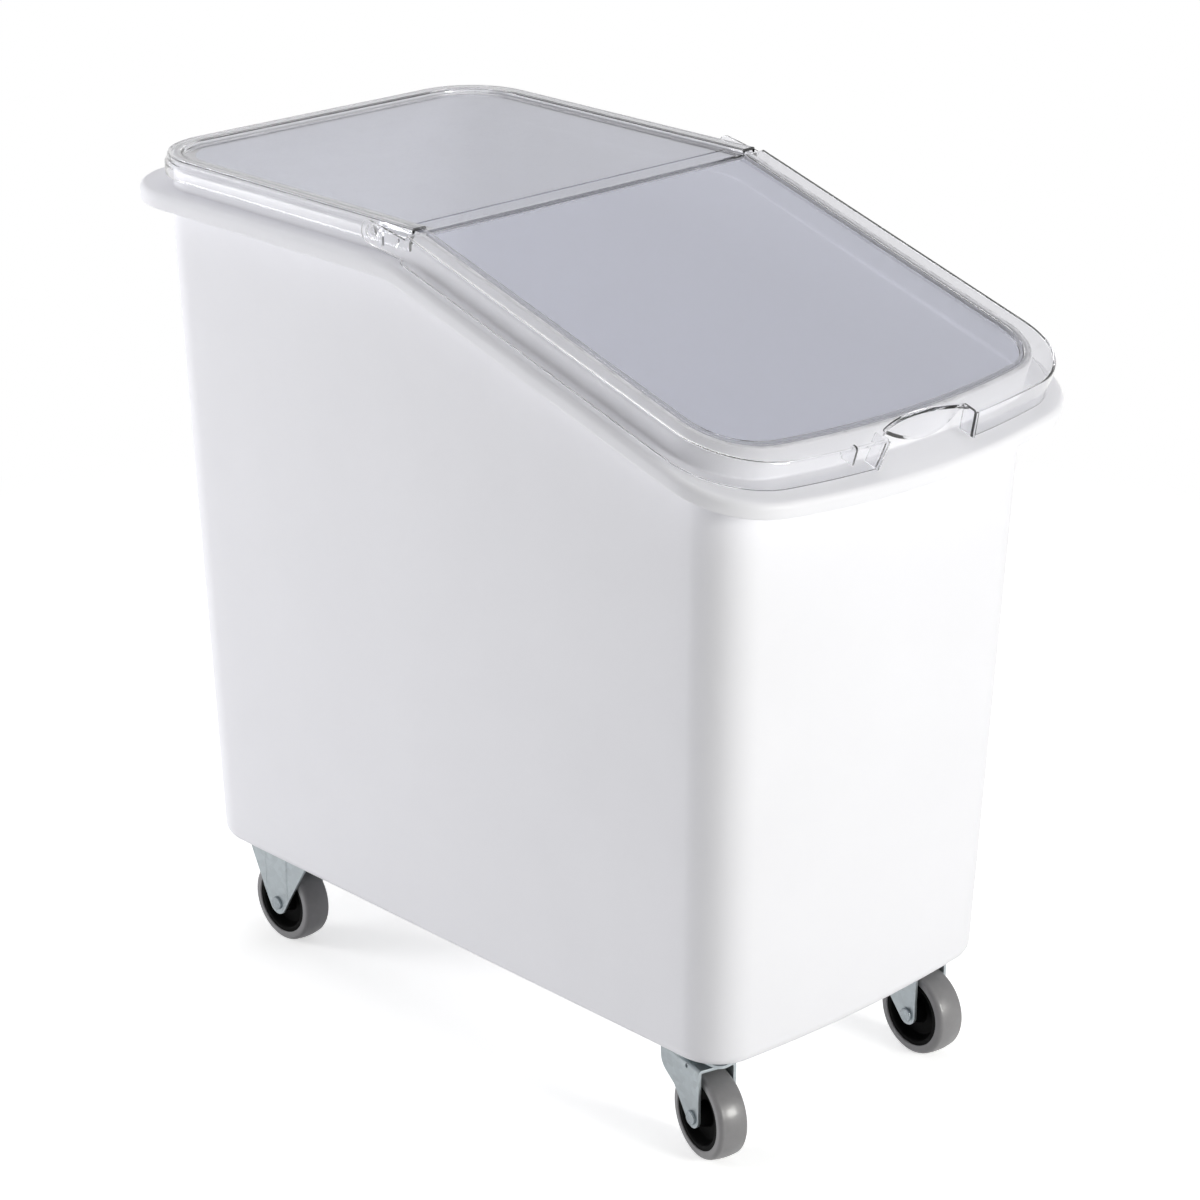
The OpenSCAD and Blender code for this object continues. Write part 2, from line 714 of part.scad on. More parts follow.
// Grey tread with rounded shoulders, along x at the origin.
module tread_form() {
    w = tread_w / 2;
    rotate([0, 90, 0])
        rotate_extrude()
            polygon(concat([[hub_d / 2, -w], [wheel_d / 2 - tread_round, -w]],
                           moved(arc(tread_round, -90, 0, 5), [wheel_d / 2 - tread_round, tread_round - w]),
                           moved(arc(tread_round, 0, 90, 5), [wheel_d / 2 - tread_round, w - tread_round]),
                           [[hub_d / 2, w]]));
}

module rear_axle(x) {
    color("Silver") translate([x, caster_rear, axle_z]) axle_form();
}

module rear_hub(x) {
    color([0.08, 0.08, 0.08]) translate([x, caster_rear, axle_z]) hub_form();
}

module rear_tread(x) {
    color("Gray") translate([x, caster_rear, axle_z]) tread_form();
}

// Places children on the swivel axis of a front caster, turned as the caster stands.
module at_swivel(x, turn) {
    translate([x, -caster_front, 0]) rotate([0, 0, turn]) children();
}

// Ring with a raceway groove for the balls, between two heights.
module race_ring(low, high, fit) {
    difference() {
        translate([0, 0, low]) cylinder(d = race_d + race_w, h = high - low);
        translate([0, 0, low - 1]) cylinder(d = race_d - race_w, h = high - low + 2);
        translate([0, 0, ball_z])
            rotate_extrude() translate([race_d / 2, 0]) circle(d = ball_d + 2 * fit, $fn = 32);
    }
}

// Top plate of a front caster with the upper raceway.
module front_plate(x) {
    color("LightSteelBlue")
        translate([x, -caster_front, 0]) {
            difference() {
                translate([0, 0, base_z]) mount_plate();
                translate([0, 0, plate_z - 1]) cylinder(d = pin_d, h = steel_t + 2);
            }
            race_ring(plate_z - race_t, plate_z + eps, 0);
        }
}

// King pin riveted in the plate, with a head under the fork's crown.
module front_pin(x) {
    head = crown_z - pin_play - pin_head_h;
    color("Silver")
        translate([x, -caster_front, 0]) {
            translate([0, 0, head]) cylinder(d = pin_head_d, h = pin_head_h);
            translate([0, 0, head + pin_head_h / 2])
                cylinder(d = pin_d, h = base_z - head - pin_head_h / 2);
        }
}

// Balls of one swivel bearing.
module front_balls(x) {
    color("Silver")
        translate([x, -caster_front, ball_z])
            for (i = [0:ball_count - 1])
                rotate([0, 0, i * 360 / ball_count])
                    translate([race_d / 2, 0, 0]) sphere(d = ball_d, $fn = 24);
}

// Outline of a swivel fork's leg: upright front edge, raked rear edge, rounded tip round the axle.
module fork_leg_outline() {
    top = crown_top;
    tip = moved(arc(leg_tip_r, 180, 180 + tip_sweep, 9), [-trail, axle_z]);
    polygon(concat([[crown_rear(), top], [-trail - leg_tip_r, top]], tip,
                   [[knee_back - trail, axle_z + knee_up], [crown_rear(), crown_z - steel_t]]));
}

// Rear end of a swivel fork's crown.
function crown_rear() = (race_d + race_w) / 2 + 2;

// Pressed fork of a front caster with the lower raceway.
module front_fork(x, turn) {
    reach = trail + leg_tip_r;
    color("LightSteelBlue")
        at_swivel(x, turn) {
            difference() {
                union() {
                    translate([-leg_out, -reach, crown_z])
                        cube([2 * leg_out, reach + crown_rear(), steel_t]);
                    for (side = [0, 1]) mirror([side, 0, 0])
                        translate([leg_in, 0, 0])
                            rotate([90, 0, 90]) linear_extrude(steel_t) fork_leg_outline();
                }
                translate([0, 0, crown_z - 1]) cylinder(d = pin_d + 2 * pin_fit, h = steel_t + 2);
                translate([-leg_out - 5, -trail, axle_z])
                    rotate([0, 90, 0]) cylinder(d = axle_d, h = 2 * leg_out + 10);
            }
            race_ring(crown_top - eps, crown_top + race_t, race_fit);
        }
}

module front_axle(x, turn) {
    color("Silver") at_swivel(x, turn) translate([0, -trail, axle_z]) axle_form();
}

module front_hub(x, turn) {
    color([0.08, 0.08, 0.08]) at_swivel(x, turn) translate([0, -trail, axle_z]) hub_form();
}

module front_tread(x, turn) {
    color("Gray") at_swivel(x, turn) translate([0, -trail, axle_z]) tread_form();
}

// Round-headed bolts that come down through the floor and the caster plates.
module caster_bolts() {
    seat = floor_z + washer_t;
    low = plate_z - nut_h - bolt_tail;
    color("Silver")
        at_bolts() {
            translate([0, 0, low]) cylinder(d = bolt_d, h = seat - low + eps);
            translate([0, 0, seat])
                rotate_extrude()
                    polygon(concat([[0, 0], [bolt_head_d / 2, 0]],
                                   [for (a = [15:15:90]) [bolt_head_d / 2 * cos(a), bolt_head_h * sin(a)]]));
        }
}

// Washers under the bolt heads, on the floor of the tub.
module caster_washers() {
    color("Silver")
        at_bolts() translate([0, 0, floor_z])
            difference() {
                cylinder(d = washer_d, h = washer_t);
                translate([0, 0, -1]) cylinder(d = bolt_d + 2 * bolt_fit, h = washer_t + 2);
            }
}

// Hexagon nuts under the caster plates.
module caster_nuts() {
    color("Silver")
        at_bolts() translate([0, 0, plate_z - nut_h])
            difference() {
                cylinder(d = nut_af / cos(30), h = nut_h, $fn = 6);
                translate([0, 0, -1]) cylinder(d = bolt_d, h = nut_h + 2);
            }
}

bin_body();
rear_lid();
front_lid();
rear_bracket(-caster_x);  // rear_left_bracket
rear_axle(-caster_x);  // rear_left_axle
rear_hub(-caster_x);  // rear_left_hub
rear_tread(-caster_x);  // rear_left_tread
rear_bracket(caster_x);  // rear_right_bracket
rear_axle(caster_x);  // rear_right_axle
rear_hub(caster_x);  // rear_right_hub
rear_tread(caster_x);  // rear_right_tread
front_plate(-caster_x);  // front_left_plate
front_pin(-caster_x);  // front_left_pin
front_balls(-caster_x);  // front_left_balls
front_fork(-caster_x, turn_left);  // front_left_fork
front_axle(-caster_x, turn_left);  // front_left_axle
front_hub(-caster_x, turn_left);  // front_left_hub
front_tread(-caster_x, turn_left);  // front_left_tread
front_plate(caster_x);  // front_right_plate
front_pin(caster_x);  // front_right_pin
front_balls(caster_x);  // front_right_balls
front_fork(caster_x, turn_right);  // front_right_fork
front_axle(caster_x, turn_right);  // front_right_axle
front_hub(caster_x, turn_right);  // front_right_hub
front_tread(caster_x, turn_right);  // front_right_tread
caster_bolts();
caster_washers();
caster_nuts();
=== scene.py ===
"""Wheeled ingredient bin: moulded, pressed and turned pieces, their finishes and a studio, over the frame."""

import json
import math
from collections import namedtuple
from functools import wraps
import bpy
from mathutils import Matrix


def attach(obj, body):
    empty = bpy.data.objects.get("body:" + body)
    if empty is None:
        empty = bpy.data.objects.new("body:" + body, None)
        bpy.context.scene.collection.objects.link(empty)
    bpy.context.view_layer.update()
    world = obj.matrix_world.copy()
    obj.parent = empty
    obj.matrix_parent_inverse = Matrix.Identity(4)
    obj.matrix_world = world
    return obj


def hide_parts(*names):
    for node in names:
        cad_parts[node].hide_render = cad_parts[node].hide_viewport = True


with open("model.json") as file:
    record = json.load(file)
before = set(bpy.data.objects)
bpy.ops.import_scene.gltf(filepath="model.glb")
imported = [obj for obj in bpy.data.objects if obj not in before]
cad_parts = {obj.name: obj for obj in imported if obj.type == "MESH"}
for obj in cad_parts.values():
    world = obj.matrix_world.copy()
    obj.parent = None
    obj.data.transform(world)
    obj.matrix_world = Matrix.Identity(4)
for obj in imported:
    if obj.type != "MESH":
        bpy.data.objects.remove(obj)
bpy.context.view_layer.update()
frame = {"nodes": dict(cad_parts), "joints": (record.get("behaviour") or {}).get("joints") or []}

from types import SimpleNamespace

import bmesh
import bpy
import numpy as np
from bpy.props import FloatProperty, FloatVectorProperty, IntProperty, PointerProperty
from mathutils import Matrix, Vector

bl_info = {
    "name": "Ingredient bin",
    "version": (1, 0, 0),
    "blender": (4, 5, 0),
    "location": "View3D > Sidebar > Bin",
    "description": "Builds a wheeled ingredient bin with clear lids and plate casters",
    "category": "Add Mesh",
}

MM = 0.001
# Points closer than this, in metres, are one.
WELD = 1e-7
SIDES = {"left": -1, "right": 1}
WHEELS = [(end, side) for end in ("front", "rear") for side in SIDES]
JOINTS = {j["name"]: j for j in frame["joints"]}
# An outline's x and y become y and z, and it is drawn out along x.
ACROSS = Matrix(((0, 0, 1, 0), (1, 0, 0, 0), (0, 1, 0, 0), (0, 0, 0, 1)))
# An outline's x and y become x and z, and it is drawn out towards the front.
ALONG = Matrix.Rotation(math.radians(90), 4, "X")
# What is turned about x stands upright.
STAND = Matrix.Rotation(math.radians(-90), 4, "Y")


def length(name, description, mm):
    """A length property with its default in millimetres."""
    return FloatProperty(name=name, description=description, default=mm * MM, precision=5, unit="LENGTH")


def angle(name, description, degrees):
    """An angle property with its default in degrees."""
    return FloatProperty(name=name, description=description, default=math.radians(degrees), unit="ROTATION")


def linear(code):
    """An sRGB hex colour as linear red, green and blue."""
    parts = [int(code[i : i + 2], 16) / 255 for i in (1, 3, 5)]
    return tuple(c / 12.92 if c <= 0.04045 else ((c + 0.055) / 1.055) ** 2.4 for c in parts)


def colour(name, description, code):
    """A colour property with its default as an sRGB hex value."""
    kind = {"subtype": "COLOR", "min": 0, "max": 1}
    return FloatVectorProperty(name=name, description=description, default=linear(code), **kind)


def power(name, description, watts):
    """A lamp's power property."""
    return FloatProperty(name=name, description=description, default=watts, unit="POWER")


class TubSizes(bpy.types.PropertyGroup):
    """Sizes of the moulded tub, its rim and its neck."""

    base_len: length("Underside length", "Length of the tub's underside", 640.4)
    base_wid: length("Underside width", "Width of the tub's underside", 324.9)
    base_z: length("Underside height", "Height of the underside above the floor", 92)
    base_corner: length("Wall corner", "Corner radius of the walls in plan", 41)
    base_bow: length("Front bow", "Radius of the gentle forward bow of the front wall", 1250)
    base_edge: length("Lower edge", "Radius of the edge between underside and walls", 12)
    floor_edge: length("Floor edge", "Radius of the edge between floor and walls inside", 5)
    draft: angle("Draft", "Draft of the walls", 1.888)
    wall: length("Wall", "Wall thickness", 4.5)
    floor_t: length("Floor", "Floor thickness", 5)
    rim_z: length("Rim height", "Height of the rim's top face at the rear", 688.5)
    over_side: length("Rim at the sides", "How far the rim stands out from the walls at the sides", 24)
    over_rear: length("Rim at the rear", "How far the rim stands out from the wall at the rear", 32.5)
    over_front: length("Rim at the front", "How far the rim stands out from the wall at the front", 35)
    rim_corner: length("Rim corner", "Corner radius of the rim in plan", 74)
    rim_front_corner: length("Rim front corner", "Corner radius of the rim's sloping front", 70)
    rim_bow: length("Rim bow", "Radius of the bow of the rim's front", 780)
    lip_h: length("Lip depth", "Depth of the rim's turned-down lip", 13.5)
    lip_round: length("Lip rounding", "Rounding of the rim's upper outer edge", 5)
    lip_t: length("Lip thickness", "Thickness of the turned-down lip", 4)
    break_y: length("Crease", "Place of the crease between flat and sloping rim", 13)
    slope: angle("Slope", "Slope of the front half of the rim and lid", 16.7)
    bend_r: length("Bend", "Radius of the bend at the crease", 120)
    neck_h: length("Neck height", "Height of the neck that stands on the rim inside the lids", 25)


class LidSizes(bpy.types.PropertyGroup):
    """Sizes of the two clear lids, their hinge and the finger pull."""

    sheet: length("Lid thickness", "Thickness of the clear lids", 2.5)
    out_side: length("Rear lid at the sides", "How far the rear lid passes the walls at the sides", 10.7)
    out_rear: length("Rear lid at the rear", "How far the rear lid passes the wall at the rear", 8.8)
    corner: length("Rear lid corner", "Corner radius of the rear lid", 65)
    rear_skirt: length("Rear skirt", "Depth of the rear lid's skirt", 17.7)
    skirt_upper: length("Upper skirt", "Height of the inset upper part of the rear lid's skirt", 5)
    skirt_step: length("Skirt step", "Inset of that upper part", 2.3)
    neck_gap: length("Neck gap", "Gap between the neck and the lids' channel", 2.5)
    panel_drop: length("Panel depth", "Depth of the panels below the raised borders", 4)
    panel_strip: length("Clear strip", "Strip of the rear panel beside its border that stays clear", 9)
    bead_back: length("Bead place", "Distance of the low bead behind the rear lid's front edge", 20)
    bead_w: length("Bead width", "Width of that bead", 2)
    bead_h: length("Bead height", "Height of that bead", 0.7)
    front_skirt: length("Front skirt", "Depth of the front lid's skirt", 24.7)
    ear_gap: length("Ear gap", "Gap between the rear lid's skirt and the ears", 4.7)
    panel_reach: length("Panel reach", "Reach of the clear panel down the slope", 359.3)
    panel_corner: length("Panel corner", "Corner radius of the clear panel", 49.5)
    bow: length("Lid bow", "Radius of the bow of the lid's front", 900)
    finger_room: length("Finger room", "Room for fingers between the neck and the front skirt", 17.8)
    front_corner: length("Front lid corner", "Corner radius of the front lid", 72)
    front_start: length("Front lid start", "Gap from the crease to the front lid", 8)
    rear_end: length("Rear lid end", "How far the rear lid runs past the crease", 12)
    hinge_back: length("Hinge back", "Distance of the hinge axis behind the crease", 28)
    hinge_up: length("Hinge height", "Height of the hinge axis above the rim", 18.5)
    peg_d: length("Peg", "Diameter of the hinge pegs", 6)
    peg_fit: length("Peg clearance", "Radial clearance of the pegs", 0.08)
    ear_r: length("Ear end", "Radius of the rounded end of each ear", 9.5)
    collar_d: length("Collar", "Diameter of the collar round each peg", 11)
    collar_play: length("Collar play", "End play between collar and rear lid", 0.4)
    notch_w: length("Notch foot", "Width of the notch at the foot of the skirt", 107)
    notch_top_w: length("Notch top", "Width of the notch at the lid's face", 98)
    notch_deep: length("Notch depth", "Depth of the arch from the lid's front edge", 19)
    arch_r: length("Arch", "Radius of the arch in plan", 124)
    lip_reach: length("Finger lip", "Length of the dished lip", 13)
    lip_edge_r: length("Finger lip edge", "Radius of the lip's front edge in plan", 150)
    dish_rise: length("Dish", "Height of the centre of the dish above the lid's face", 147)
    gusset_x: length("Gusset place", "Distance of the small rib behind the skirt from the middle", 80)
    gusset_reach: length("Gusset reach", "How far that rib stands out behind the skirt", 13)


class CasterSizes(bpy.types.PropertyGroup):
    """Sizes of the wheels, forks, brackets and fasteners."""

    wheel_d: length("Wheel", "Wheel diameter", 75)
    tread_w: length("Tread width", "Width of the tread", 26)
    tread_round: length("Tread shoulder", "Rounding of the tread's shoulders", 4)
    tread_crown: length("Tread crown", "Rise of the tread from its shoulders to its middle", 0.8)
    hub_d: length("Hub", "Diameter of the hub under the tread", 58)
    dish_d: length("Hub dish", "Inner diameter of the hub's rim", 49)
    web_t: length("Hub web", "Thickness of the hub's web", 8)
    boss_d: length("Boss", "Diameter of the hub's boss", 18)
    hub_play: length("Hub play", "End play of the hub between the legs", 0.3)
    axle_d: length("Axle", "Diameter of the axle", 8)
    axle_fit: length("Axle clearance", "Radial clearance of the hub on the axle", 0.05)
    head_d: length("Axle head", "Diameter of the domed axle heads", 12)
    head_h: length("Axle head height", "Height of the domed axle heads", 3)
    fork_gap: length("Fork gap", "Clear width between the legs", 30)
    steel: length("Sheet steel", "Thickness of the pressed steel", 2.5)
    plate_len: length("Plate length", "Length of the caster plates", 100)
    plate_wid: length("Plate width", "Width of the caster plates", 44)
    plate_corner: length("Plate corner", "Corner radius of the caster plates", 8)
    caster_x: length("Caster spread", "Distance of the casters from the middle", 125)
    front_y: length("Front casters", "Distance of the front casters from the middle", 250)
    rear_y: length("Rear casters", "Distance of the rear casters from the middle", 251)
    trail: length("Trail", "Offset of the front axles from the swivel axis", 27)
    tip_r: length("Fork tip", "Radius of the tip of the fork's legs", 9)
    knee_back: length("Fork knee back", "Distance of the knee in the fork's rear edge behind the axle", 27.5)
    knee_up: length("Fork knee height", "Height of that knee above the axle", 17)
    heel_up: length("Fork heel height", "Height of the rounded heel of the fork's legs above the axle", 27)
    heel_r: length("Fork heel", "Radius of that heel", 14)
    relief_d: length("Bend relief", "Diameter of the relief hole at the end of the crown's bend", 3.6)
    relief_y: length("Bend relief place", "Distance of that hole ahead of the swivel axis", 17.4)
    bracket_tip_r: length("Bracket tip", "Radius of the tip of the rear brackets' legs", 10.5)
    bracket_half: length("Bracket half width", "Half width of the rear brackets' legs at the top", 37)
    bracket_waist: length("Bracket waist", "Height above the axle where the legs begin to narrow", 44)
    swage_half: length("Swage", "Half width of the pressed middle of the legs", 14.5)
    swage_t: length("Swage height", "Height of that pressing", 0.9)
    crown_top: length("Crown", "Height of the top of the forks' crown", 82.5)
    crown_rear: length("Crown rear", "Rear end of the forks' crown from the swivel axis", 22)
    race_d: length("Raceway", "Diameter of the circle of bearing balls", 28)
    race_w: length("Raceway width", "Width of the raceway rings", 8)
    race_t: length("Raceway thickness", "Thickness of the raceway rings", 2.6)
    ball_d: length("Ball", "Diameter of the bearing balls", 5)
    ball_z: length("Ball height", "Height of the balls' centres", 86)
    ball_count: IntProperty(name="Balls", description="Balls in each swivel bearing", default=14, min=6)
    pin_d: length("King pin", "Diameter of the king pins", 9)
    pin_fit: length("King pin clearance", "Radial clearance of the forks on the king pins", 0.08)
    bolt_d: length("Bolt", "Diameter of the caster bolts", 6)
    bolt_fit: length("Bolt clearance", "Radial clearance of the bolts in plates and washers", 0.25)
    bolt_len: length("Bolts along", "Spacing of the bolts along the plates", 74)
    bolt_wid: length("Bolts across", "Spacing of the bolts across the plates", 17)
    bolt_head_d: length("Bolt head", "Diameter of the bolt heads", 10.5)
    bolt_head_h: length("Bolt head height", "Height of the bolt heads", 3.4)
    bolt_tail: length("Bolt tail", "Thread left below each nut", 1.2)
    nut_af: length("Nut", "Width of the nuts across flats", 10)
    nut_h: length("Nut height", "Height of the nuts", 5)
    washer_d: length("Washer", "Diameter of the washers", 11.5)
    washer_t: length("Washer thickness", "Thickness of the washers", 1.5)


class Finishes(bpy.types.PropertyGroup):
    """Colours of the finishes."""

    white: colour("Polyethylene", "Moulded white polyethylene of the tub", "#EEEEF3")
    clear: colour("Polycarbonate", "Clear polycarbonate of the lids", "#F4F4F6")
    # The panels' tint is painted shade: it greys and blues the tub's inside seen through them.
    panel: colour("Panels", "Hazed polycarbonate of the flat panels", "#F0F2FF")
    zinc: colour("Zinc plate", "Zinc-plated sheet steel", "#BFC7CB")
    bright: colour("Bright zinc", "Bright zinc of rivets and fasteners", "#B0B8BD")
    black: colour("Polypropylene", "Black polypropylene of the hubs", "#050505")
    grey: colour("Rubber", "Grey rubber of the treads", "#838284")
    floor: colour("Floor", "Pale studio floor", "#F2F2F2")


class StageSettings(bpy.types.PropertyGroup):
    """Camera and lamps of the studio."""

    eye: FloatVectorProperty(
        name="Camera",
        description="Place of the camera",
        default=(-1.9122, -1.97105, 1.43092),
        subtype="TRANSLATION",
        unit="LENGTH",
    )
    heading: angle("Heading", "Heading of the view from straight ahead", 44.31)
    down: angle("Downward tilt", "Downward tilt of the view", 21.30)
    roll: angle("Roll", "Roll of the picture", -0.34)
    lens: FloatProperty(name="Lens", description="Focal length of the camera", default=105.605, unit="CAMERA")
    sensor: FloatProperty(name="Sensor", description="Width of the sensor", default=36, unit="CAMERA")
    key: power("Key", "Power of the lamp at the front right", 86)
    side: power("Side", "Power of the lamp at the left rear", 117)
    fill: power("Fill", "Power of the soft lamp at the right", 24)
    top: power("Top", "Power of the overhead lamp", 30)
    ambient: FloatProperty(name="Ambient", description="Brightness of the room's light", default=0.13)
    lift: FloatProperty(name="Floor lift", description="Brightness added to the seen floor", default=0.58)


Plan = namedtuple("Plan", "half rear front rear_corner front_corner bow")
# Steps along each stretch of a ring, and over each wall and rounded edge of the tub.
STRETCHES = {"straight": 14, "corner": 16, "across": 18, "bend": 10, "slope": 22, "bow": 48}
RUNS = SimpleNamespace(**STRETCHES, wall=10, edge=9, floor=6, root=5, fold=4, lip=8)


def grown(plan, d):
    """A plan moved outward by d."""
    outward = Plan(d, d, -d, d, d, d)
    return Plan(*(a + b for a, b in zip(plan, outward)))


def line(a, b, n):
    """n points from a towards b, without b."""
    a, b = np.asarray(a, float), np.asarray(b, float)
    return a + (b - a) * (np.arange(n) / n)[:, None]


def arc(centre, r, start, end, n):
    """n points along an arc between two angles in degrees, without its end."""
    a = np.radians(start + (end - start) * np.arange(n) / n)
    return np.asarray(centre, float) + r * np.stack([np.cos(a), np.sin(a)], 1)


def rear_path(plan, start):
    """Round the rear of a plan, from y = start on the right to y = start on the left."""
    h, r, c = plan.half, plan.rear, plan.rear_corner
    return np.concatenate(
        [
            line((h, start), (h, r - c), RUNS.straight),
            arc((h - c, r - c), c, 0, 90, RUNS.corner),
            line((h - c, r), (c - h, r), RUNS.across),
            arc((c - h, r - c), c, 90, 180, RUNS.corner),
            line((-h, r - c), (-h, start), RUNS.straight),
            [(-h, start)],
        ]
    )


def front_path(plan, start):
    """Round the bowed front of a plan, from y = start on the left to y = start on the right."""
    h, c = plan.half, plan.front_corner
    turn = math.degrees(math.acos((h - c) / (plan.bow - c)))
    bow_y = plan.front + plan.bow
    y = bow_y - (plan.bow - c) * math.sin(math.radians(turn))
    return np.concatenate(
        [
            line((-h, start), (-h, y), RUNS.slope),
            arc((c - h, y), c, 180, 180 + turn, RUNS.corner),
            arc((0, bow_y), plan.bow, 180 + turn, 360 - turn, RUNS.bow),
            arc((h - c, y), c, -turn, 0, RUNS.corner),
            line((h, y), (h, start), RUNS.slope),
            [(h, start)],
        ]
    )


def ring_path(plan, bend_rear, bend_front):
    """All round a plan, with extra points in the bend on both sides."""
    left = line((-plan.half, bend_rear), (-plan.half, bend_front), RUNS.bend)[1:]
    right = line((plan.half, bend_front), (plan.half, bend_rear), RUNS.bend)[1:]
    return np.concatenate([rear_path(plan, bend_rear), left, front_path(plan, bend_front), right])


def bin_form(tub, lids):
    """Sizes that follow from the properties; y is counted from the crease."""
    rise = (tub.rim_z - tub.base_z) * math.tan(tub.draft)
    middle = (tub.over_front - tub.over_rear) / 2 - tub.break_y
    base_half = tub.base_wid / 2
    base_rear = middle + tub.base_len / 2
    base_front = middle - tub.base_len / 2
    wall_half, wall_rear = base_half + rise, base_rear + rise
    lid_half, lid_rear = wall_half + lids.out_side, wall_rear + lids.out_rear
    neck_out = lids.skirt_step + lids.sheet + lids.neck_gap
    border = neck_out + tub.wall + lids.neck_gap + lids.sheet
    panel_out = lids.sheet + lids.neck_gap + tub.wall
    neck_half = lid_half - neck_out
    neck_rear = lid_rear - neck_out
    neck_reach = lids.panel_reach + panel_out
    neck_corner, neck_front_corner = lids.corner - neck_out, lids.panel_corner + panel_out
    front_half = lid_half + lids.ear_gap + lids.sheet
    front_reach = neck_reach + lids.finger_room + lids.sheet
    rim_half, rim_rear = wall_half + tub.over_side, wall_rear + tub.over_rear
    cos, sin = math.cos(tub.slope), math.sin(tub.slope)
    rim_reach = (2 * tub.break_y + rim_rear + tub.lip_round * (cos + sin - 1)) / cos
    return SimpleNamespace(
        cos=cos,
        sin=sin,
        run=tub.bend_r * math.tan(tub.slope / 2),
        base=Plan(base_half, base_rear, base_front, tub.base_corner, tub.base_corner, tub.base_bow),
        rim=Plan(rim_half, rim_rear, -rim_reach, tub.rim_corner, tub.rim_front_corner, tub.rim_bow),
        neck=Plan(neck_half, neck_rear, -neck_reach, neck_corner, neck_front_corner, lids.bow + panel_out),
        lid=Plan(lid_half, lid_rear, 0, lids.corner, lids.corner, lids.bow),
        panel=Plan(lid_half - border, 0, -lids.panel_reach, lids.panel_corner, lids.panel_corner, lids.bow),
        front=Plan(front_half, 0, -front_reach, lids.front_corner, lids.front_corner, lids.bow),
        border=border,
        lid_up=tub.neck_h + lids.sheet,
        front_reach=front_reach,
        arch_y=lids.notch_deep - front_reach - lids.arch_r,
        hinge=(tub.break_y + lids.hinge_back, tub.rim_z + lids.hinge_up),
    )


def unrolled(tub, form, path, h):
    """World points at height h over the rim, which lies flat, bends at the crease and slopes."""
    x, y = path.T
    turn = tub.slope * np.clip((form.run - y) / (2 * form.run), 0, 1)
    r = tub.bend_r + h
    past = np.minimum(y + form.run, 0)
    wy = np.where(y >= form.run, y, form.run - r * np.sin(turn) + past * form.cos)
    wz = np.where(y >= form.run, h, r * np.cos(turn) - tub.bend_r + past * form.sin)
    return np.stack([x, wy + tub.break_y, wz + tub.rim_z], 1)


def rim_height(tub, form, y, h):
    """Height of the surface h over the rim, at a place lengthways."""
    y = y - tub.break_y - form.run
    r = tub.bend_r + h
    low = -r * form.sin
    bend = np.sqrt(r * r - np.clip(y, low, 0) ** 2) - tub.bend_r
    slope = np.minimum(y - low, 0) * form.sin / form.cos
    return tub.rim_z + np.where(y >= 0, h, bend + slope)


def wall_ring(tub, form, inset, z, off=0.0):
    """Plan of the walls at a height, moved outward by off."""
    d = (z - tub.base_z) * math.tan(tub.draft)
    b = form.base
    c = b.rear_corner - inset
    plan = Plan(b.half + d - inset, b.rear + d - inset, b.front - d + inset, c, c, b.bow - inset)
    bend_front = form.run - tub.bend_r * form.sin
    return ring_path(grown(plan, off), form.run, bend_front) + (0, tub.break_y)


def tall(path, z):
    """A plan path lifted to a height."""
    return np.column_stack([path, np.full(len(path), z)])


def ruled(low, high, z):
    """Points on the straight lines from one ring to a higher one, each at its own height."""
    k = ((z - low[:, 2]) / (high[:, 2] - low[:, 2]))[:, None]
    return low + (high - low) * k


def quarter(a, b, c, n):
    """Rings that round the corner b between a and c."""
    return [a * (1 - k) ** 2 + 2 * b * k * (1 - k) + c * k * k for k in np.arange(n + 1) / n]


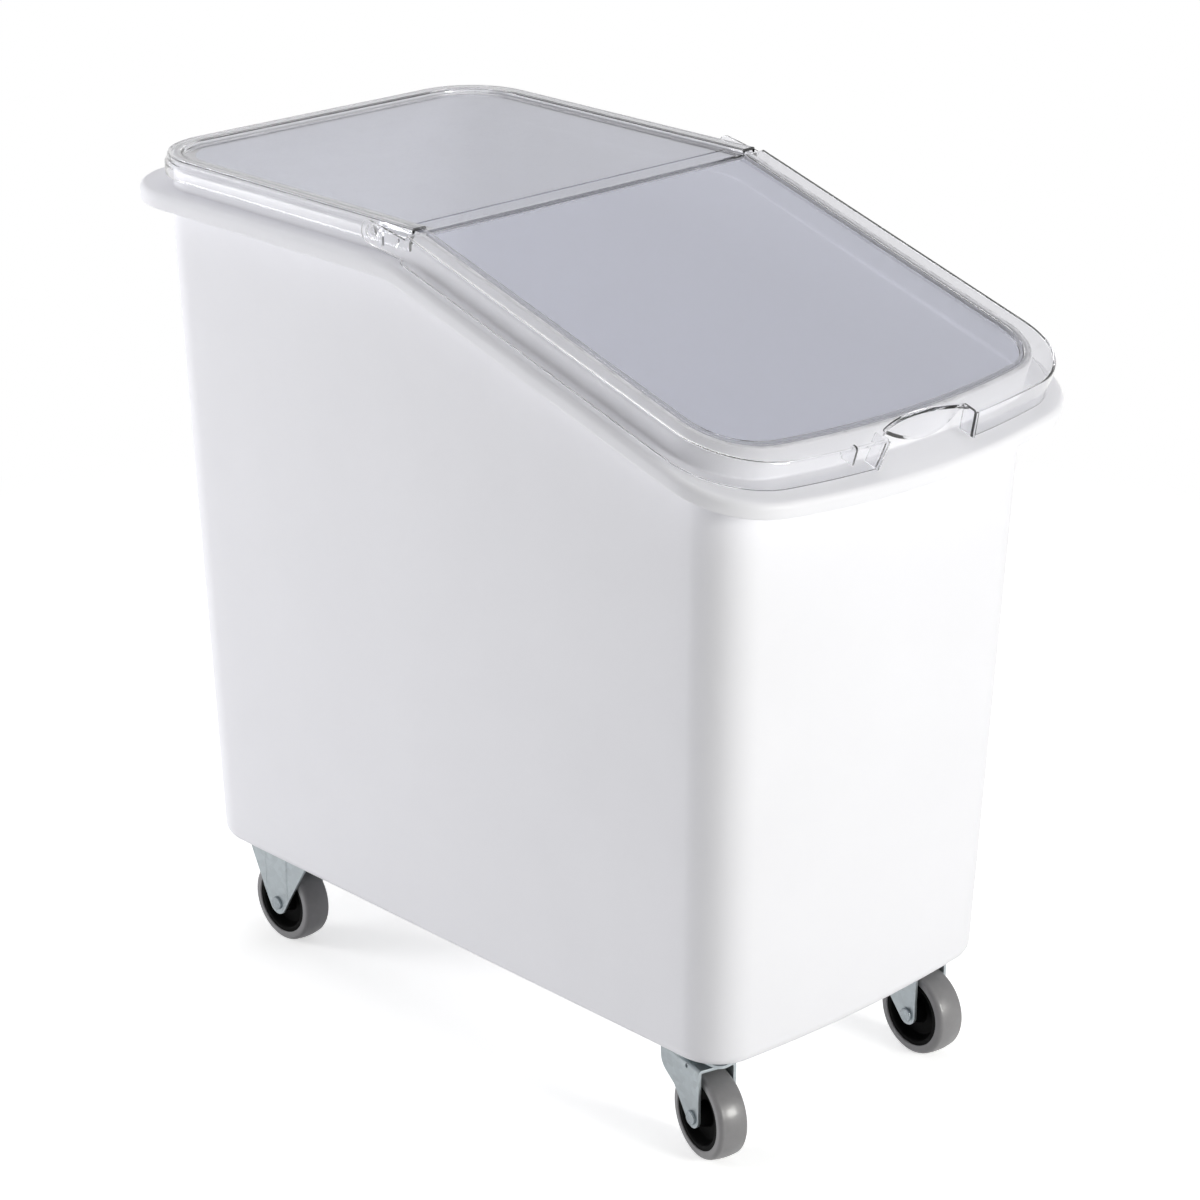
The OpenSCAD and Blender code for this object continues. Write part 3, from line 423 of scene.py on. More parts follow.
def tub_rings(tub, form):
    """Rings from the middle of the underside, up the outside, over rim and neck, and down to the floor."""
    # Radii where the wall meets the rim, in the folds beside lip and neck, on the neck and inside.
    root, fold, crest, fine = 4 * MM, 2 * MM, 1.5 * MM, 0.5 * MM
    # Flat strip round each of the two closing faces, and the steps in which a wall's top is found.
    strip, tries = 4 * MM, 12

    def wall_top(low, high, h):
        """Heights at which the wall's lines meet the surface h over the rim, found step by step."""
        z = np.full(len(low), tub.rim_z)
        for _ in range(tries):
            z = rim_height(tub, form, ruled(low, high, z)[:, 1], h)
        return z

    def edge(inset, low, r, n):
        """Rings round the edge between a level face and the walls."""
        found = []
        for k in range(n + 1):
            a = math.pi / 2 * k / n
            z = low + r * (1 - math.cos(a))
            found.append(tall(wall_ring(tub, form, inset, z, r * (math.sin(a) - 1)), z))
        return found

    def on_rim(plan, d, h):
        """A ring moved outward by d, at height h over the rim."""
        return unrolled(tub, form, ring_path(grown(plan, d), form.run, -form.run), h)

    def bent(plan, n, *points):
        """Rings round a corner between three (offset, height) over the rim."""
        return quarter(*(on_rim(plan, d, h) for d, h in points), n)

    def beside(corner, r, h):
        """The corner's ring moved outward by r along the surface h over the rim."""
        away = corner.copy()
        away[:, :2] += out * r
        away[:, 2] = rim_height(tub, form, away[:, 1], h)
        return away

    # Underside and the outside of the walls.
    rings = [tall(wall_ring(tub, form, 0, tub.base_z, -tub.base_edge - strip), tub.base_z)]
    rings += edge(0, tub.base_z, tub.base_edge, RUNS.edge)
    above = tub.rim_z + MM
    low, high = rings[-1], tall(wall_ring(tub, form, 0, above), above)
    out = wall_ring(tub, form, 0, tub.rim_z, MM) - wall_ring(tub, form, 0, tub.rim_z)
    out /= np.linalg.norm(out, axis=1)[:, None]
    top = wall_top(low, high, -tub.wall)
    below = top - root
    for k in np.arange(1, RUNS.wall + 1) / RUNS.wall:
        rings.append(ruled(low, high, low[:, 2] + (below - low[:, 2]) * k))
    corner = ruled(low, high, top)
    rings += quarter(rings[-1], corner, beside(corner, root, -tub.wall), RUNS.root)[1:]
    # Rim: its underside, its turned-down lip and its top.
    back, under = -tub.lip_t, -tub.wall
    rings += bent(form.rim, RUNS.fold, (back - fold, under), (back, under), (back, under - fold))
    foot = tub.lip_t / 2
    for a in math.pi * (1 + np.arange(RUNS.lip + 1) / RUNS.lip):
        rings.append(on_rim(form.rim, foot * (math.cos(a) - 1), foot * (1 + math.sin(a)) - tub.lip_h))
    for a in np.linspace(0, math.pi / 2, RUNS.lip):
        rings.append(on_rim(form.rim, tub.lip_round * (math.cos(a) - 1), tub.lip_round * (math.sin(a) - 1)))
    rings.append(on_rim(form.rim, -tub.lip_round - fold, 0))
    # Neck.
    h, w = tub.neck_h, tub.wall
    rings += bent(form.neck, RUNS.fold, (fold, 0), (0, 0), (0, fold))
    rings += bent(form.neck, RUNS.fold, (0, h - crest), (0, h), (-crest, h))
    rings += bent(form.neck, RUNS.fold, (crest - w, h), (-w, h), (-w, h - crest))
    rings += bent(form.neck, RUNS.fold // 2, (-w, fine), (-w, 0), (-w - fine, 0))
    # Inside of the walls, and the floor.
    floor_z = tub.base_z + tub.floor_t
    floor = edge(tub.wall, floor_z, tub.floor_edge, RUNS.floor)
    above = tub.rim_z + tub.neck_h
    low, high = floor[-1], tall(wall_ring(tub, form, tub.wall, above), above)
    top = wall_top(low, high, 0)
    start = top - fine
    corner = ruled(low, high, top)
    rings += quarter(beside(corner, fine, 0), corner, ruled(low, high, start), RUNS.fold // 2)
    for k in np.arange(1, RUNS.wall) / RUNS.wall:
        rings.append(ruled(low, high, start + (low[:, 2] - start) * k))
    rings += floor[::-1]
    rings.append(tall(wall_ring(tub, form, tub.wall, floor_z, -tub.floor_edge - strip), floor_z))
    return rings


def mesh_object(name, verts, faces):
    """A new object from points and faces, with its faces turned outwards."""
    mesh = bpy.data.meshes.new(name)
    mesh.from_pydata([tuple(map(float, v)) for v in verts], [], faces)
    made = bpy.data.objects.new(name, mesh)
    bpy.context.scene.collection.objects.link(made)
    bm = bmesh.new()
    bm.from_mesh(mesh)
    bmesh.ops.remove_doubles(bm, verts=bm.verts, dist=WELD)
    bmesh.ops.recalc_face_normals(bm, faces=bm.faces)
    bm.to_mesh(mesh)
    bm.free()
    return made


def loft(name, rings):
    """A closed body through rings of equal counts, capped at the first and the last."""
    n = len(rings[0])
    faces = [tuple(range(n))[::-1]]
    for k in range(len(rings) - 1):
        for i in range(n):
            j = (i + 1) % n
            faces.append((k * n + i, k * n + j, (k + 1) * n + j, (k + 1) * n + i))
    last = (len(rings) - 1) * n
    faces.append(tuple(range(last, last + n)))
    return mesh_object(name, np.concatenate(rings), faces)


def open_tray(name, loops):
    """A lid from loops that run from its panel's top face, over the border and back to its underside."""
    n, m = len(loops[0]), len(loops)
    faces = []
    for k in range(m - 1):
        for i in range(n - 1):
            faces.append((k * n + i, k * n + i + 1, (k + 1) * n + i + 1, (k + 1) * n + i))
    last = (m - 1) * n
    faces.append(tuple(range(n)))
    faces.append(tuple(range(last, last + n))[::-1])
    faces.append((n - 1, 0, last, last + n - 1))
    faces.append(tuple(k * n for k in range(m)))
    faces.append(tuple(k * n + n - 1 for k in range(m))[::-1])
    return mesh_object(name, np.concatenate(loops), faces)


def filleted(points, radius, n=4, skip=()):
    """A closed outline with its corners rounded, apart from those skipped."""
    # A rounding takes up to this share of an edge, and a corner flatter than this stays as it is.
    share, flat = 0.45, math.radians(176)
    points = [Vector(p) for p in points]
    found = []
    for i, p in enumerate(points):
        u, v = points[i - 1] - p, points[(i + 1) % len(points)] - p
        bend = u.angle(v)
        reach = min(radius / math.tan(bend / 2), share * u.length, share * v.length)
        if i in skip or bend > flat:
            found.append(p)
            continue
        start, end = p + u.normalized() * reach, p + v.normalized() * reach
        for k in range(n + 1):
            s = k / n
            found.append(start * (1 - s) ** 2 + p * 2 * s * (1 - s) + end * s * s)
    return [tuple(q) for q in found]


def prism(name, outline, low, high, place):
    """An outline drawn out between two heights and set in place by a matrix."""
    n = len(outline)
    verts = [(x, y, low) for x, y in outline] + [(x, y, high) for x, y in outline]
    faces = [tuple(range(n))[::-1], tuple(range(n, 2 * n))]
    faces += [(i, (i + 1) % n, n + (i + 1) % n, n + i) for i in range(n)]
    return mesh_object(name, [place @ Vector(v) for v in verts], faces)


def closed_sheet(name, layers, w, place):
    """A closed sheet between two layers of points, which both lie in rows of w."""
    size, rows = len(layers[0]), len(layers[0]) // w
    last = size - w
    faces = []
    for i in range(rows - 1):
        for k in range(w - 1):
            a = i * w + k
            faces.append((a, a + w, a + w + 1, a + 1))
            faces.append((size + a, size + a + 1, size + a + w + 1, size + a + w))
    rim = [(k, k + 1) for k in range(w - 1)]
    rim += [(i * w + w - 1, i * w + 2 * w - 1) for i in range(rows - 1)]
    rim += [(last + k + 1, last + k) for k in range(w - 1)[::-1]]
    rim += [(i * w + w, i * w) for i in range(rows - 1)[::-1]]
    faces += [(a, b, size + b, size + a) for a, b in rim]
    return mesh_object(name, [place @ Vector(v) for v in layers[0] + layers[1]], faces)


def turned(name, profile, place, segments=96):
    """A closed profile of (radius, along) turned about the place's x axis; radius 0 closes on the axis."""
    n = len(profile)
    verts, faces = [], []
    for k in range(segments):
        a = 2 * math.pi * k / segments
        verts += [place @ Vector((x, r * math.cos(a), r * math.sin(a))) for r, x in profile]
    on_axis = [r < WELD for r, x in profile]
    for k in range(segments):
        k2 = (k + 1) % segments
        for i in range(n):
            j = (i + 1) % n
            if on_axis[i] and on_axis[j]:
                continue
            quad = [k * n + i, k * n + j, k2 * n + j, k2 * n + i]
            if on_axis[i]:
                quad = quad[:3]
            elif on_axis[j]:
                quad = [quad[0], quad[1], quad[3]]
            faces.append(tuple(quad))
    return mesh_object(name, verts, faces)


def rod(name, r, low, high, place, segments=64):
    """A plain round bar about the place's x axis."""
    return turned(name, [(0, low), (r, low), (r, high), (0, high)], place, segments)


def settle(piece):
    """Turns a piece's modifiers into plain mesh."""
    depsgraph = bpy.context.evaluated_depsgraph_get()
    mesh = bpy.data.meshes.new_from_object(piece.evaluated_get(depsgraph))
    piece.modifiers.clear()
    old, piece.data = piece.data, mesh
    bpy.data.meshes.remove(old)
    if not mesh.polygons:
        raise RuntimeError(f"{piece.name} came out empty")
    return piece


def joined(piece, operation, *others):
    """Cuts, adds or intersects other bodies, which are used up."""
    for other in others:
        cut = piece.modifiers.new(operation, "BOOLEAN")
        cut.operation = operation
        cut.object = other
        cut.solver = "MANIFOLD"
        settle(piece)
        mesh = other.data
        bpy.data.objects.remove(other)
        bpy.data.meshes.remove(mesh)
    return piece


def softened(piece, width, segments=2, limit=40):
    """Rounds the sharp edges of a piece a little."""
    bevel = piece.modifiers.new("edge", "BEVEL")
    bevel.width = width
    bevel.segments = segments
    bevel.limit_method = "ANGLE"
    bevel.angle_limit = math.radians(limit)
    return settle(piece)


def dressed(piece, material, body, nodes, sharp=32):
    """Shades a piece, gives it its finish and ties it to the frame."""
    mesh = piece.data
    mesh.materials.clear()
    mesh.materials.append(material)
    mesh.polygons.foreach_set("use_smooth", [True] * len(mesh.polygons))
    mesh.set_sharp_from_angle(angle=math.radians(sharp))
    mesh.update()
    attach(piece, body)
    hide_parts(*nodes)
    return piece


def add_node(tree, kind, inputs=None, **settings):
    """A node with its settings; an input that is a socket is linked, any other is set."""
    made = tree.nodes.new(kind)
    for key, value in settings.items():
        setattr(made, key, value)
    for key, value in (inputs or {}).items():
        if isinstance(value, bpy.types.NodeSocket):
            tree.links.new(value, made.inputs[key])
        else:
            made.inputs[key].default_value = value
    return made


def made_once(name):
    """Turns a function that fills a node tree into one that gives the named material, made at first use."""

    def wrap(fill):
        @wraps(fill)
        def given(*settings):
            found = bpy.data.materials.get(name)
            if found is None:
                found = bpy.data.materials.new(name)
                found.use_nodes = True
                tree = found.node_tree
                tree.nodes.clear()
                fill(tree, add_node(tree, "ShaderNodeTexCoord").outputs["Object"], *settings)
            return found

        return given

    return wrap


def tinted(shade, share=1.0):
    """A colour times a share, with alpha."""
    return (*(v * share for v in shade), 1)


def noise(tree, place, size, detail, roughness=0.5):
    """Noise in patches of about a size, as a factor."""
    values = {"Vector": place, "Scale": 1 / size, "Detail": detail, "Roughness": roughness}
    return add_node(tree, "ShaderNodeTexNoise", values).outputs["Fac"]


def blend(tree, factor, first, second):
    """A mix of two colours by a factor."""
    values = {0: factor, 6: first, 7: second}
    return add_node(tree, "ShaderNodeMix", values, data_type="RGBA").outputs[2]


def spread(tree, factor, low, high, start=0.3, end=0.7):
    """A factor between start and end, spread from low to high."""
    values = {"Value": factor, "From Min": start, "From Max": end, "To Min": low, "To Max": high}
    return add_node(tree, "ShaderNodeMapRange", values).outputs["Result"]


def relief(tree, height, strength, depth, under=None):
    """A bump of a real depth, over another one where there is one."""
    values = {"Height": height, "Strength": strength, "Distance": depth}
    if under is not None:
        values["Normal"] = under
    return add_node(tree, "ShaderNodeBump", values).outputs["Normal"]


def reckoned(tree, operation, a, b):
    """Two values taken together by a mathematical operation."""
    return add_node(tree, "ShaderNodeMath", {0: a, 1: b}, operation=operation).outputs[0]


def coated(tree, values):
    """A principled surface with its values, led to the material's output."""
    skin = add_node(tree, "ShaderNodeBsdfPrincipled", values)
    add_node(tree, "ShaderNodeOutputMaterial", {"Surface": skin.outputs["BSDF"]})


@made_once("white_polyethylene_moulded")
def moulded_polyethylene(tree, place, finishes):
    """White moulded polyethylene: a soft satin skin with fine mould grain and slow waves."""
    # Cloudy tint about 90 mm across, from uneven wall thickness and handling.
    cloud = noise(tree, place, 90 * MM, 3.0, 0.55)
    # Mould grain of about 0.9 mm, coarser than the real one so that it shows, over waves of about 120 mm.
    waves = noise(tree, place, 120 * MM, 1.0)
    grain = noise(tree, place, 0.9 * MM, 2.0, 0.6)
    slow = relief(tree, waves, 0.5, 1.2 * MM)
    # Rubbed patches about 35 mm across shine a little more.
    rub = noise(tree, place, 35 * MM, 4.0, 0.62)
    skin = {
        "Base Color": blend(tree, cloud, tinted(finishes.white), tinted(finishes.white, 0.965)),
        "Roughness": spread(tree, rub, 0.40, 0.52),
        "IOR": 1.51,
        "Specular IOR Level": 0.4,
        "Normal": relief(tree, grain, 0.22, 0.12 * MM, slow),
    }
    coated(tree, skin)


@made_once("clear_polycarbonate_moulded")
def clear_polycarbonate(tree, place, finishes):
    """Injection-moulded polycarbonate of the borders: clear and polished, with faint flow waves."""
    passed = (0.975, 0.976, 0.98, 1)
    clear_sheet(tree, place, finishes.clear, passed, clear=1.0, smooth=0.02, dull=0.06)


@made_once("clear_polycarbonate_hazed")
def hazed_and_shade_tinted_polycarbonate(tree, place, finishes):
    """The flat panels of the lids: the same sheet, hazed by fine scratches from wiping and scooping, and
    tinted blue-grey as painted shade of the tub's inside seen through them.
    """
    passed = (0.985, 0.987, 0.99, 1)
    # The panel tint is painted shade: it greys and blues the tub's inside seen through the panels; the haze
    # is real.
    clear_sheet(tree, place, finishes.panel, passed, clear=0.76, smooth=0.05, dull=0.12)


def clear_sheet(tree, place, tint, passed, clear, smooth, dull):
    """Clear sheet: its tint, the light that each face passes, how clear its body is and its roughness.

    The body's index is set below the skin's, because the real one drew too many dark lines in the borders.
    """
    body_index, skin_index = 1.3, 1.585
    # Flow waves about 60 mm long bend the reflections a little.
    bent = relief(tree, noise(tree, place, 60 * MM, 1.5), 0.08, 0.4 * MM)
    # Handling haze in patches about 25 mm across.
    haze = noise(tree, place, 25 * MM, 4.0, 0.6)
    seen = {
        "Base Color": tinted(tint),
        "Roughness": spread(tree, haze, smooth, dull, 0.35, 0.75),
        "IOR": body_index,
        "Transmission Weight": clear,
        "Coat Weight": 1.0,
        "Coat Roughness": smooth,
        "Coat IOR": skin_index,
        "Normal": bent,
        "Coat Normal": bent,
    }
    glassy = add_node(tree, "ShaderNodeBsdfPrincipled", seen)
    # Rays that only carry light cross straight, so that what lies under the lids is lit once.
    # A grazing one loses a share at the first face that it meets.
    graze = add_node(tree, "ShaderNodeFresnel", {"IOR": skin_index}).outputs["Fac"]
    leaving = add_node(tree, "ShaderNodeNewGeometry").outputs["Backfacing"]
    lost = reckoned(tree, "MULTIPLY", graze, reckoned(tree, "SUBTRACT", 1.0, leaving))
    kept = blend(tree, lost, passed, (0, 0, 0, 1))
    straight = add_node(tree, "ShaderNodeBsdfTransparent", {"Color": kept})
    ray = add_node(tree, "ShaderNodeLightPath").outputs
    carries = reckoned(tree, "MAXIMUM", ray["Is Shadow Ray"], ray["Is Diffuse Ray"])
    both = {0: carries, 1: glassy.outputs["BSDF"], 2: straight.outputs["BSDF"]}
    surface = add_node(tree, "ShaderNodeMixShader", both)
    add_node(tree, "ShaderNodeOutputMaterial", {"Surface": surface.outputs["Shader"]})


def within(plan, x, y):
    """Whether a place lies within a plan's sides, rear and rear corners."""
    over = abs(x) - plan.half + plan.rear_corner
    past = y - plan.rear + plan.rear_corner
    if over > 0 and past > 0:
        return math.hypot(over, past) < plan.rear_corner
    return abs(x) < plan.half and y < plan.rear


def haze_and_shade_tint_panel(lid, place, lids, zone, finishes):
    """Gives both faces of the flat panel their haze and their painted shade tint inside a zone; place is the
    lid's plane at its top.
    """
    # Wide faces keep their true direction, so that the edges beside them stay calm.
    even = lid.modifiers.new("even", "WEIGHTED_NORMAL")
    even.keep_sharp = True
    settle(lid)
    lid.data.materials.append(hazed_and_shade_tinted_polycarbonate(finishes))
    level, slack = 0.999, 0.2 * MM
    top, under = slack - lids.panel_drop, -slack - lids.panel_drop - lids.sheet
    inverse = place.inverted()
    turn = inverse.to_3x3()
    for face in lid.data.polygons:
        at = inverse @ face.center
        flat = abs((turn @ face.normal).z) > level and under < at.z < top
        if flat and within(zone, at.x, at.y):
            face.material_index = 1


@made_once("zinc_plated_sheet_steel")
def zinc_plated_sheet(tree, place, finishes):
    """Zinc-plated pressed sheet steel: pale blue-grey metal with rolling lines and a soft spangle."""
    # Spangle of about 5 mm, and rolling lines about 17 mm long and 0.5 mm apart: coarser than real ones.
    cells = {"Vector": place, "Scale": 1 / (5 * MM), "Randomness": 1.0}
    spangle = add_node(tree, "ShaderNodeTexVoronoi", cells, feature="F1")
    rolled = add_node(tree, "ShaderNodeMapping", {"Vector": place, "Scale": (60.0, 60.0, 2000.0)})
    lines = noise(tree, rolled.outputs["Vector"], 1.0, 2.0)
    pale, dark = tinted(finishes.zinc), tinted(finishes.zinc, 0.86)
    metal = {
        "Base Color": blend(tree, spangle.outputs["Color"], pale, dark),
        "Metallic": 0.85,
        "Roughness": spread(tree, lines, 0.34, 0.5),
        "Normal": relief(tree, lines, 0.25, 0.06 * MM),
    }
    coated(tree, metal)


@made_once("bright_zinc_turned_steel")
def bright_zinc(tree, place, finishes):
    """Bright zinc on turned and headed steel: smooth metal with faint tool marks."""
    # Tool marks about 0.4 mm apart, and worn patches about 4 mm across.
    marks = noise(tree, place, 0.4 * MM, 2.0)
    worn = noise(tree, place, 4 * MM, 3.0)
    metal = {
        "Base Color": blend(tree, worn, tinted(finishes.bright), tinted(finishes.bright, 0.8)),
        "Metallic": 1.0,
        "Roughness": spread(tree, worn, 0.2, 0.36),
        "Normal": relief(tree, marks, 0.2, 0.04 * MM),
    }
    coated(tree, metal)


@made_once("black_polypropylene_moulded")
def black_polypropylene(tree, place, finishes):
    """Black moulded polypropylene: deep satin black with fine spark-eroded grain and a little dust."""
    # Grain of about 0.5 mm; dust in patches about 8 mm across.
    grain = noise(tree, place, 0.5 * MM, 2.0)
    dust = noise(tree, place, 8 * MM, 5.0, 0.65)
    dusty = (0.012, 0.012, 0.012, 1)
    body = {
        "Base Color": blend(tree, spread(tree, dust, 0.0, 0.2, 0.45, 0.8), tinted(finishes.black), dusty),
        "Roughness": spread(tree, dust, 0.38, 0.55),
        "IOR": 1.49,
        "Specular IOR Level": 0.06,
        "Normal": relief(tree, grain, 0.25, 0.08 * MM),
    }
    coated(tree, body)


@made_once("grey_rubber_moulded")
def grey_rubber(tree, place, finishes):
    """Grey non-marking rubber: matte with a slight bloom and scuffs where it rolls."""
    # Scuffs in patches about 6 mm across and grain of about 0.6 mm.
    scuff = noise(tree, place, 6 * MM, 5.0, 0.65)
    grain = noise(tree, place, 0.6 * MM, 2.0)
    # The coat is a thin smooth skin from the mould, which gives small glints.
    body = {
        "Base Color": blend(tree, scuff, tinted(finishes.grey, 0.88), tinted(finishes.grey, 1.1)),
        "Roughness": spread(tree, scuff, 0.3, 0.42),
        "IOR": 1.52,
        "Normal": relief(tree, grain, 0.2, 0.1 * MM),
        "Coat Weight": 0.25,
        "Coat Roughness": 0.14,
    }
    coated(tree, body)


def parts(context):
    """The settings in the order that the operators use them."""
    scene = context.scene
    return scene.bin_tub, scene.bin_lids, scene.bin_casters, scene.bin_finishes


class BIN_OT_tub(bpy.types.Operator):
    """Moulded white tub with its rim and neck"""

    bl_idname = "bin.tub"
    bl_label = "Tub"

    def execute(self, context):
        tub, lids, _, finishes = parts(context)
        piece = loft("tub", tub_rings(tub, bin_form(tub, lids)))
        dressed(piece, moulded_polyethylene(finishes), "bin", ["bin_body"])
        return {"FINISHED"}


def rear_border(lids, form):
    """Section of the rear lid as (offset, height), from its panel's top to its underside."""
    b, s, r, lip = -form.border, lids.sheet, 2 * MM, 0.6 * MM
    bevel = 0.3 * r
    drop, low, under = -lids.panel_drop, -lids.panel_drop - s, -s
    step, upper, foot = -lids.skirt_step, -lids.skirt_upper, -lids.rear_skirt
    panel = b - lids.panel_strip
    top = [(panel, drop), (b - MM, drop), (b, drop + MM), (b, -r), (b + bevel, -bevel), (b + r, 0)]
    over = [(step - r, 0), (step - bevel, -bevel), (step, -r)]
    # A short slope leads from the inset upper part of the skirt out to its face.
    over += [(step, upper + 0.4 * MM), (step + 0.3 * MM, upper - 0.1 * MM)]
    skirt = [(-lip, upper - s + 0.5 * MM), (0, upper - s - lip)]
    skirt += [(0, foot + lip), (-lip, foot), (lip - s, foot), (-s, foot + lip)]
    back = [(-s, upper - 2 * s), (step - s, upper - s), (step - s, under - MM), (step - s - MM, under)]
    inner = [(b + s + MM, under), (b + s, under - MM), (b + s, low + lip), (b + s - lip, low), (panel, low)]
    return top + over + skirt + back + inner


class BIN_OT_rear_lid(bpy.types.Operator):
    """Clear flat lid over the rear half, with holes for the hinge pegs"""

    bl_idname = "bin.rear_lid"
    bl_label = "Rear lid"

    def execute(self, context):
        tub, lids, _, finishes = parts(context)
        form = bin_form(tub, lids)
        loops = []
        for d, h in rear_border(lids, form):
            path = rear_path(grown(form.lid, d), -lids.rear_end) + (0, tub.break_y)
            loops.append(tall(path, tub.rim_z + form.lid_up + h))
        lid = open_tray("rear_lid_sheet", loops)
        # Radius of each peg's hole, and middle and half length of the cut for it.
        r, middle, half = lids.peg_d / 2 + lids.peg_fit, form.neck.half + 5 * MM, 6 * MM
        for side in SIDES.values():
            place = Matrix.Translation((side * middle, *form.hinge))
            joined(lid, "DIFFERENCE", rod("peg_hole", r, -half, half, place, 48))
        joined(lid, "UNION", self.bead(tub, lids, form))
        dressed(lid, clear_polycarbonate(finishes), "rear_lid", ["rear_lid"])
        zone = grown(form.lid, 0.5 * MM - form.border - lids.panel_strip)
        haze_and_shade_tint_panel(lid, Matrix.Translation((0, tub.break_y, tub.rim_z + form.lid_up)), lids, zone, finishes)
        return {"FINISHED"}

    def bead(self, tub, lids, form):
        """Low bead across the panel behind its front edge."""
        y, z = tub.break_y - lids.rear_end + lids.bead_back, tub.rim_z + form.lid_up - lids.panel_drop
        half, high, shoulder, end = lids.bead_w / 2, lids.bead_h, 0.3 * MM, form.panel.half + 0.6 * MM
        section = [(-half, -MM), (half, -MM), (half, shoulder)]
        section += [(half / 2, high), (-half / 2, high), (-half, shoulder)]
        return prism("bead", [(y + a, z + b) for a, b in section], -end, end, ACROSS)


def front_border(lids, form):
    """Section of the front lid as (plan, offset, height), from its panel's top to its underside."""
    s, r, lip = lids.sheet, 3 * MM, 0.6 * MM
    strip, bevel = 4 * MM, 0.3 * MM
    drop, low, foot = -lids.panel_drop, -lids.panel_drop - s, -lids.front_skirt
    top = [(-strip, drop), (-MM, drop), (0, drop + MM), (0, -MM), (bevel, -bevel), (MM, 0)]
    skirt = [(r * (math.cos(a) - 1), r * (math.sin(a) - 1)) for a in np.radians(range(90, -1, -18))]
    skirt += [(0, foot + lip), (-0.2 * lip, foot + 0.2 * lip), (-lip, foot)]
    skirt += [(lip - s, foot), (-s, foot + lip)]
    skirt += [(-s, -s - MM), (-s - bevel, -s - bevel), (-s - MM, -s)]
    inner = [(s + MM, -s), (s, -s - MM), (s, low + lip), (s - lip, low), (-strip, low)]
    found = [(form.panel, *p) for p in top]
    found += [(form.front, *p) for p in skirt]
    return found + [(form.panel, *p) for p in inner]


def slope_place(tub, form):
    """Matrix of the sloping lid's own plane, at its top."""
    crease = Matrix.Translation((0, tub.break_y, tub.rim_z))
    return crease @ Matrix.Rotation(tub.slope, 4, "X") @ Matrix.Translation((0, 0, form.lid_up))


def hull(points):
    """Convex outline round points, anticlockwise."""
    points = sorted(set((round(x, 7), round(y, 7)) for x, y in points))

    def half(items):
        """One side of the outline, without its last point."""
        found = []
        for p in items:
            while len(found) > 1:
                (ax, ay), (bx, by) = found[-2:]
                if (bx - ax) * (p[1] - ay) - (by - ay) * (p[0] - ax) > 0:
                    break
                found.pop()
            found.append(p)
        return found[:-1]

    return half(points) + half(points[::-1])


def notch_outline(lids, margin):
    """Opening of the finger notch seen from the front."""
    lean = (lids.notch_w - lids.notch_top_w) / 2 / lids.front_skirt * MM
    top, foot = lids.notch_top_w / 2 - lean + margin, lids.notch_w / 2 + lean + margin
    low = -lids.front_skirt - MM
    return [(-foot, low), (foot, low), (top, MM), (-top, MM)]


def finger_lip(lids, form, place):
    """Dished lip between the arch of the notch and its own curved front edge."""
    edge_y = lids.notch_deep - form.front_reach - lids.lip_reach + lids.lip_edge_r
    dish = math.hypot(lids.arch_r, lids.dish_rise)
    inset = 4 * MM
    half = lids.notch_top_w / 2 - inset
    columns, rows = 64, 12
    # How far the lip runs into the lid behind the arch, and the least length that it keeps.
    into, least = 0.8 * lids.sheet, 0.9 * lids.sheet
    layers = []
    for r in (dish, dish + lids.sheet):
        grid = []
        for x in half * np.linspace(-1, 1, columns + 1):
            rear = form.arch_y + math.sqrt((lids.arch_r + into) ** 2 - x * x)
            front = min(edge_y - math.sqrt(lids.lip_edge_r**2 - x * x), rear - least)
            for y in np.linspace(rear, front, rows + 1):
                grid.append((x, y, lids.dish_rise - math.sqrt(r * r - x * x - (y - form.arch_y) ** 2)))
        layers.append(grid)
    return closed_sheet("finger_lip", layers, rows + 1, place)


def pin(name, r, start, end, chamfer, place, segments):
    """A round bar about the place's x axis with a chamfer at its start."""
    profile = [(0, start), (r - chamfer, start), (r, start + chamfer), (r, end), (0, end)]
    return turned(name, profile, place, segments)


# Ends of the two ribs on each ear, as millimetres lengthways and up from the hinge's axis.
EAR_RIBS = (((-16.4, -7.5), (-16.7, 4.5)), ((-31.7, -5.5), (-35.8, 1.3)))


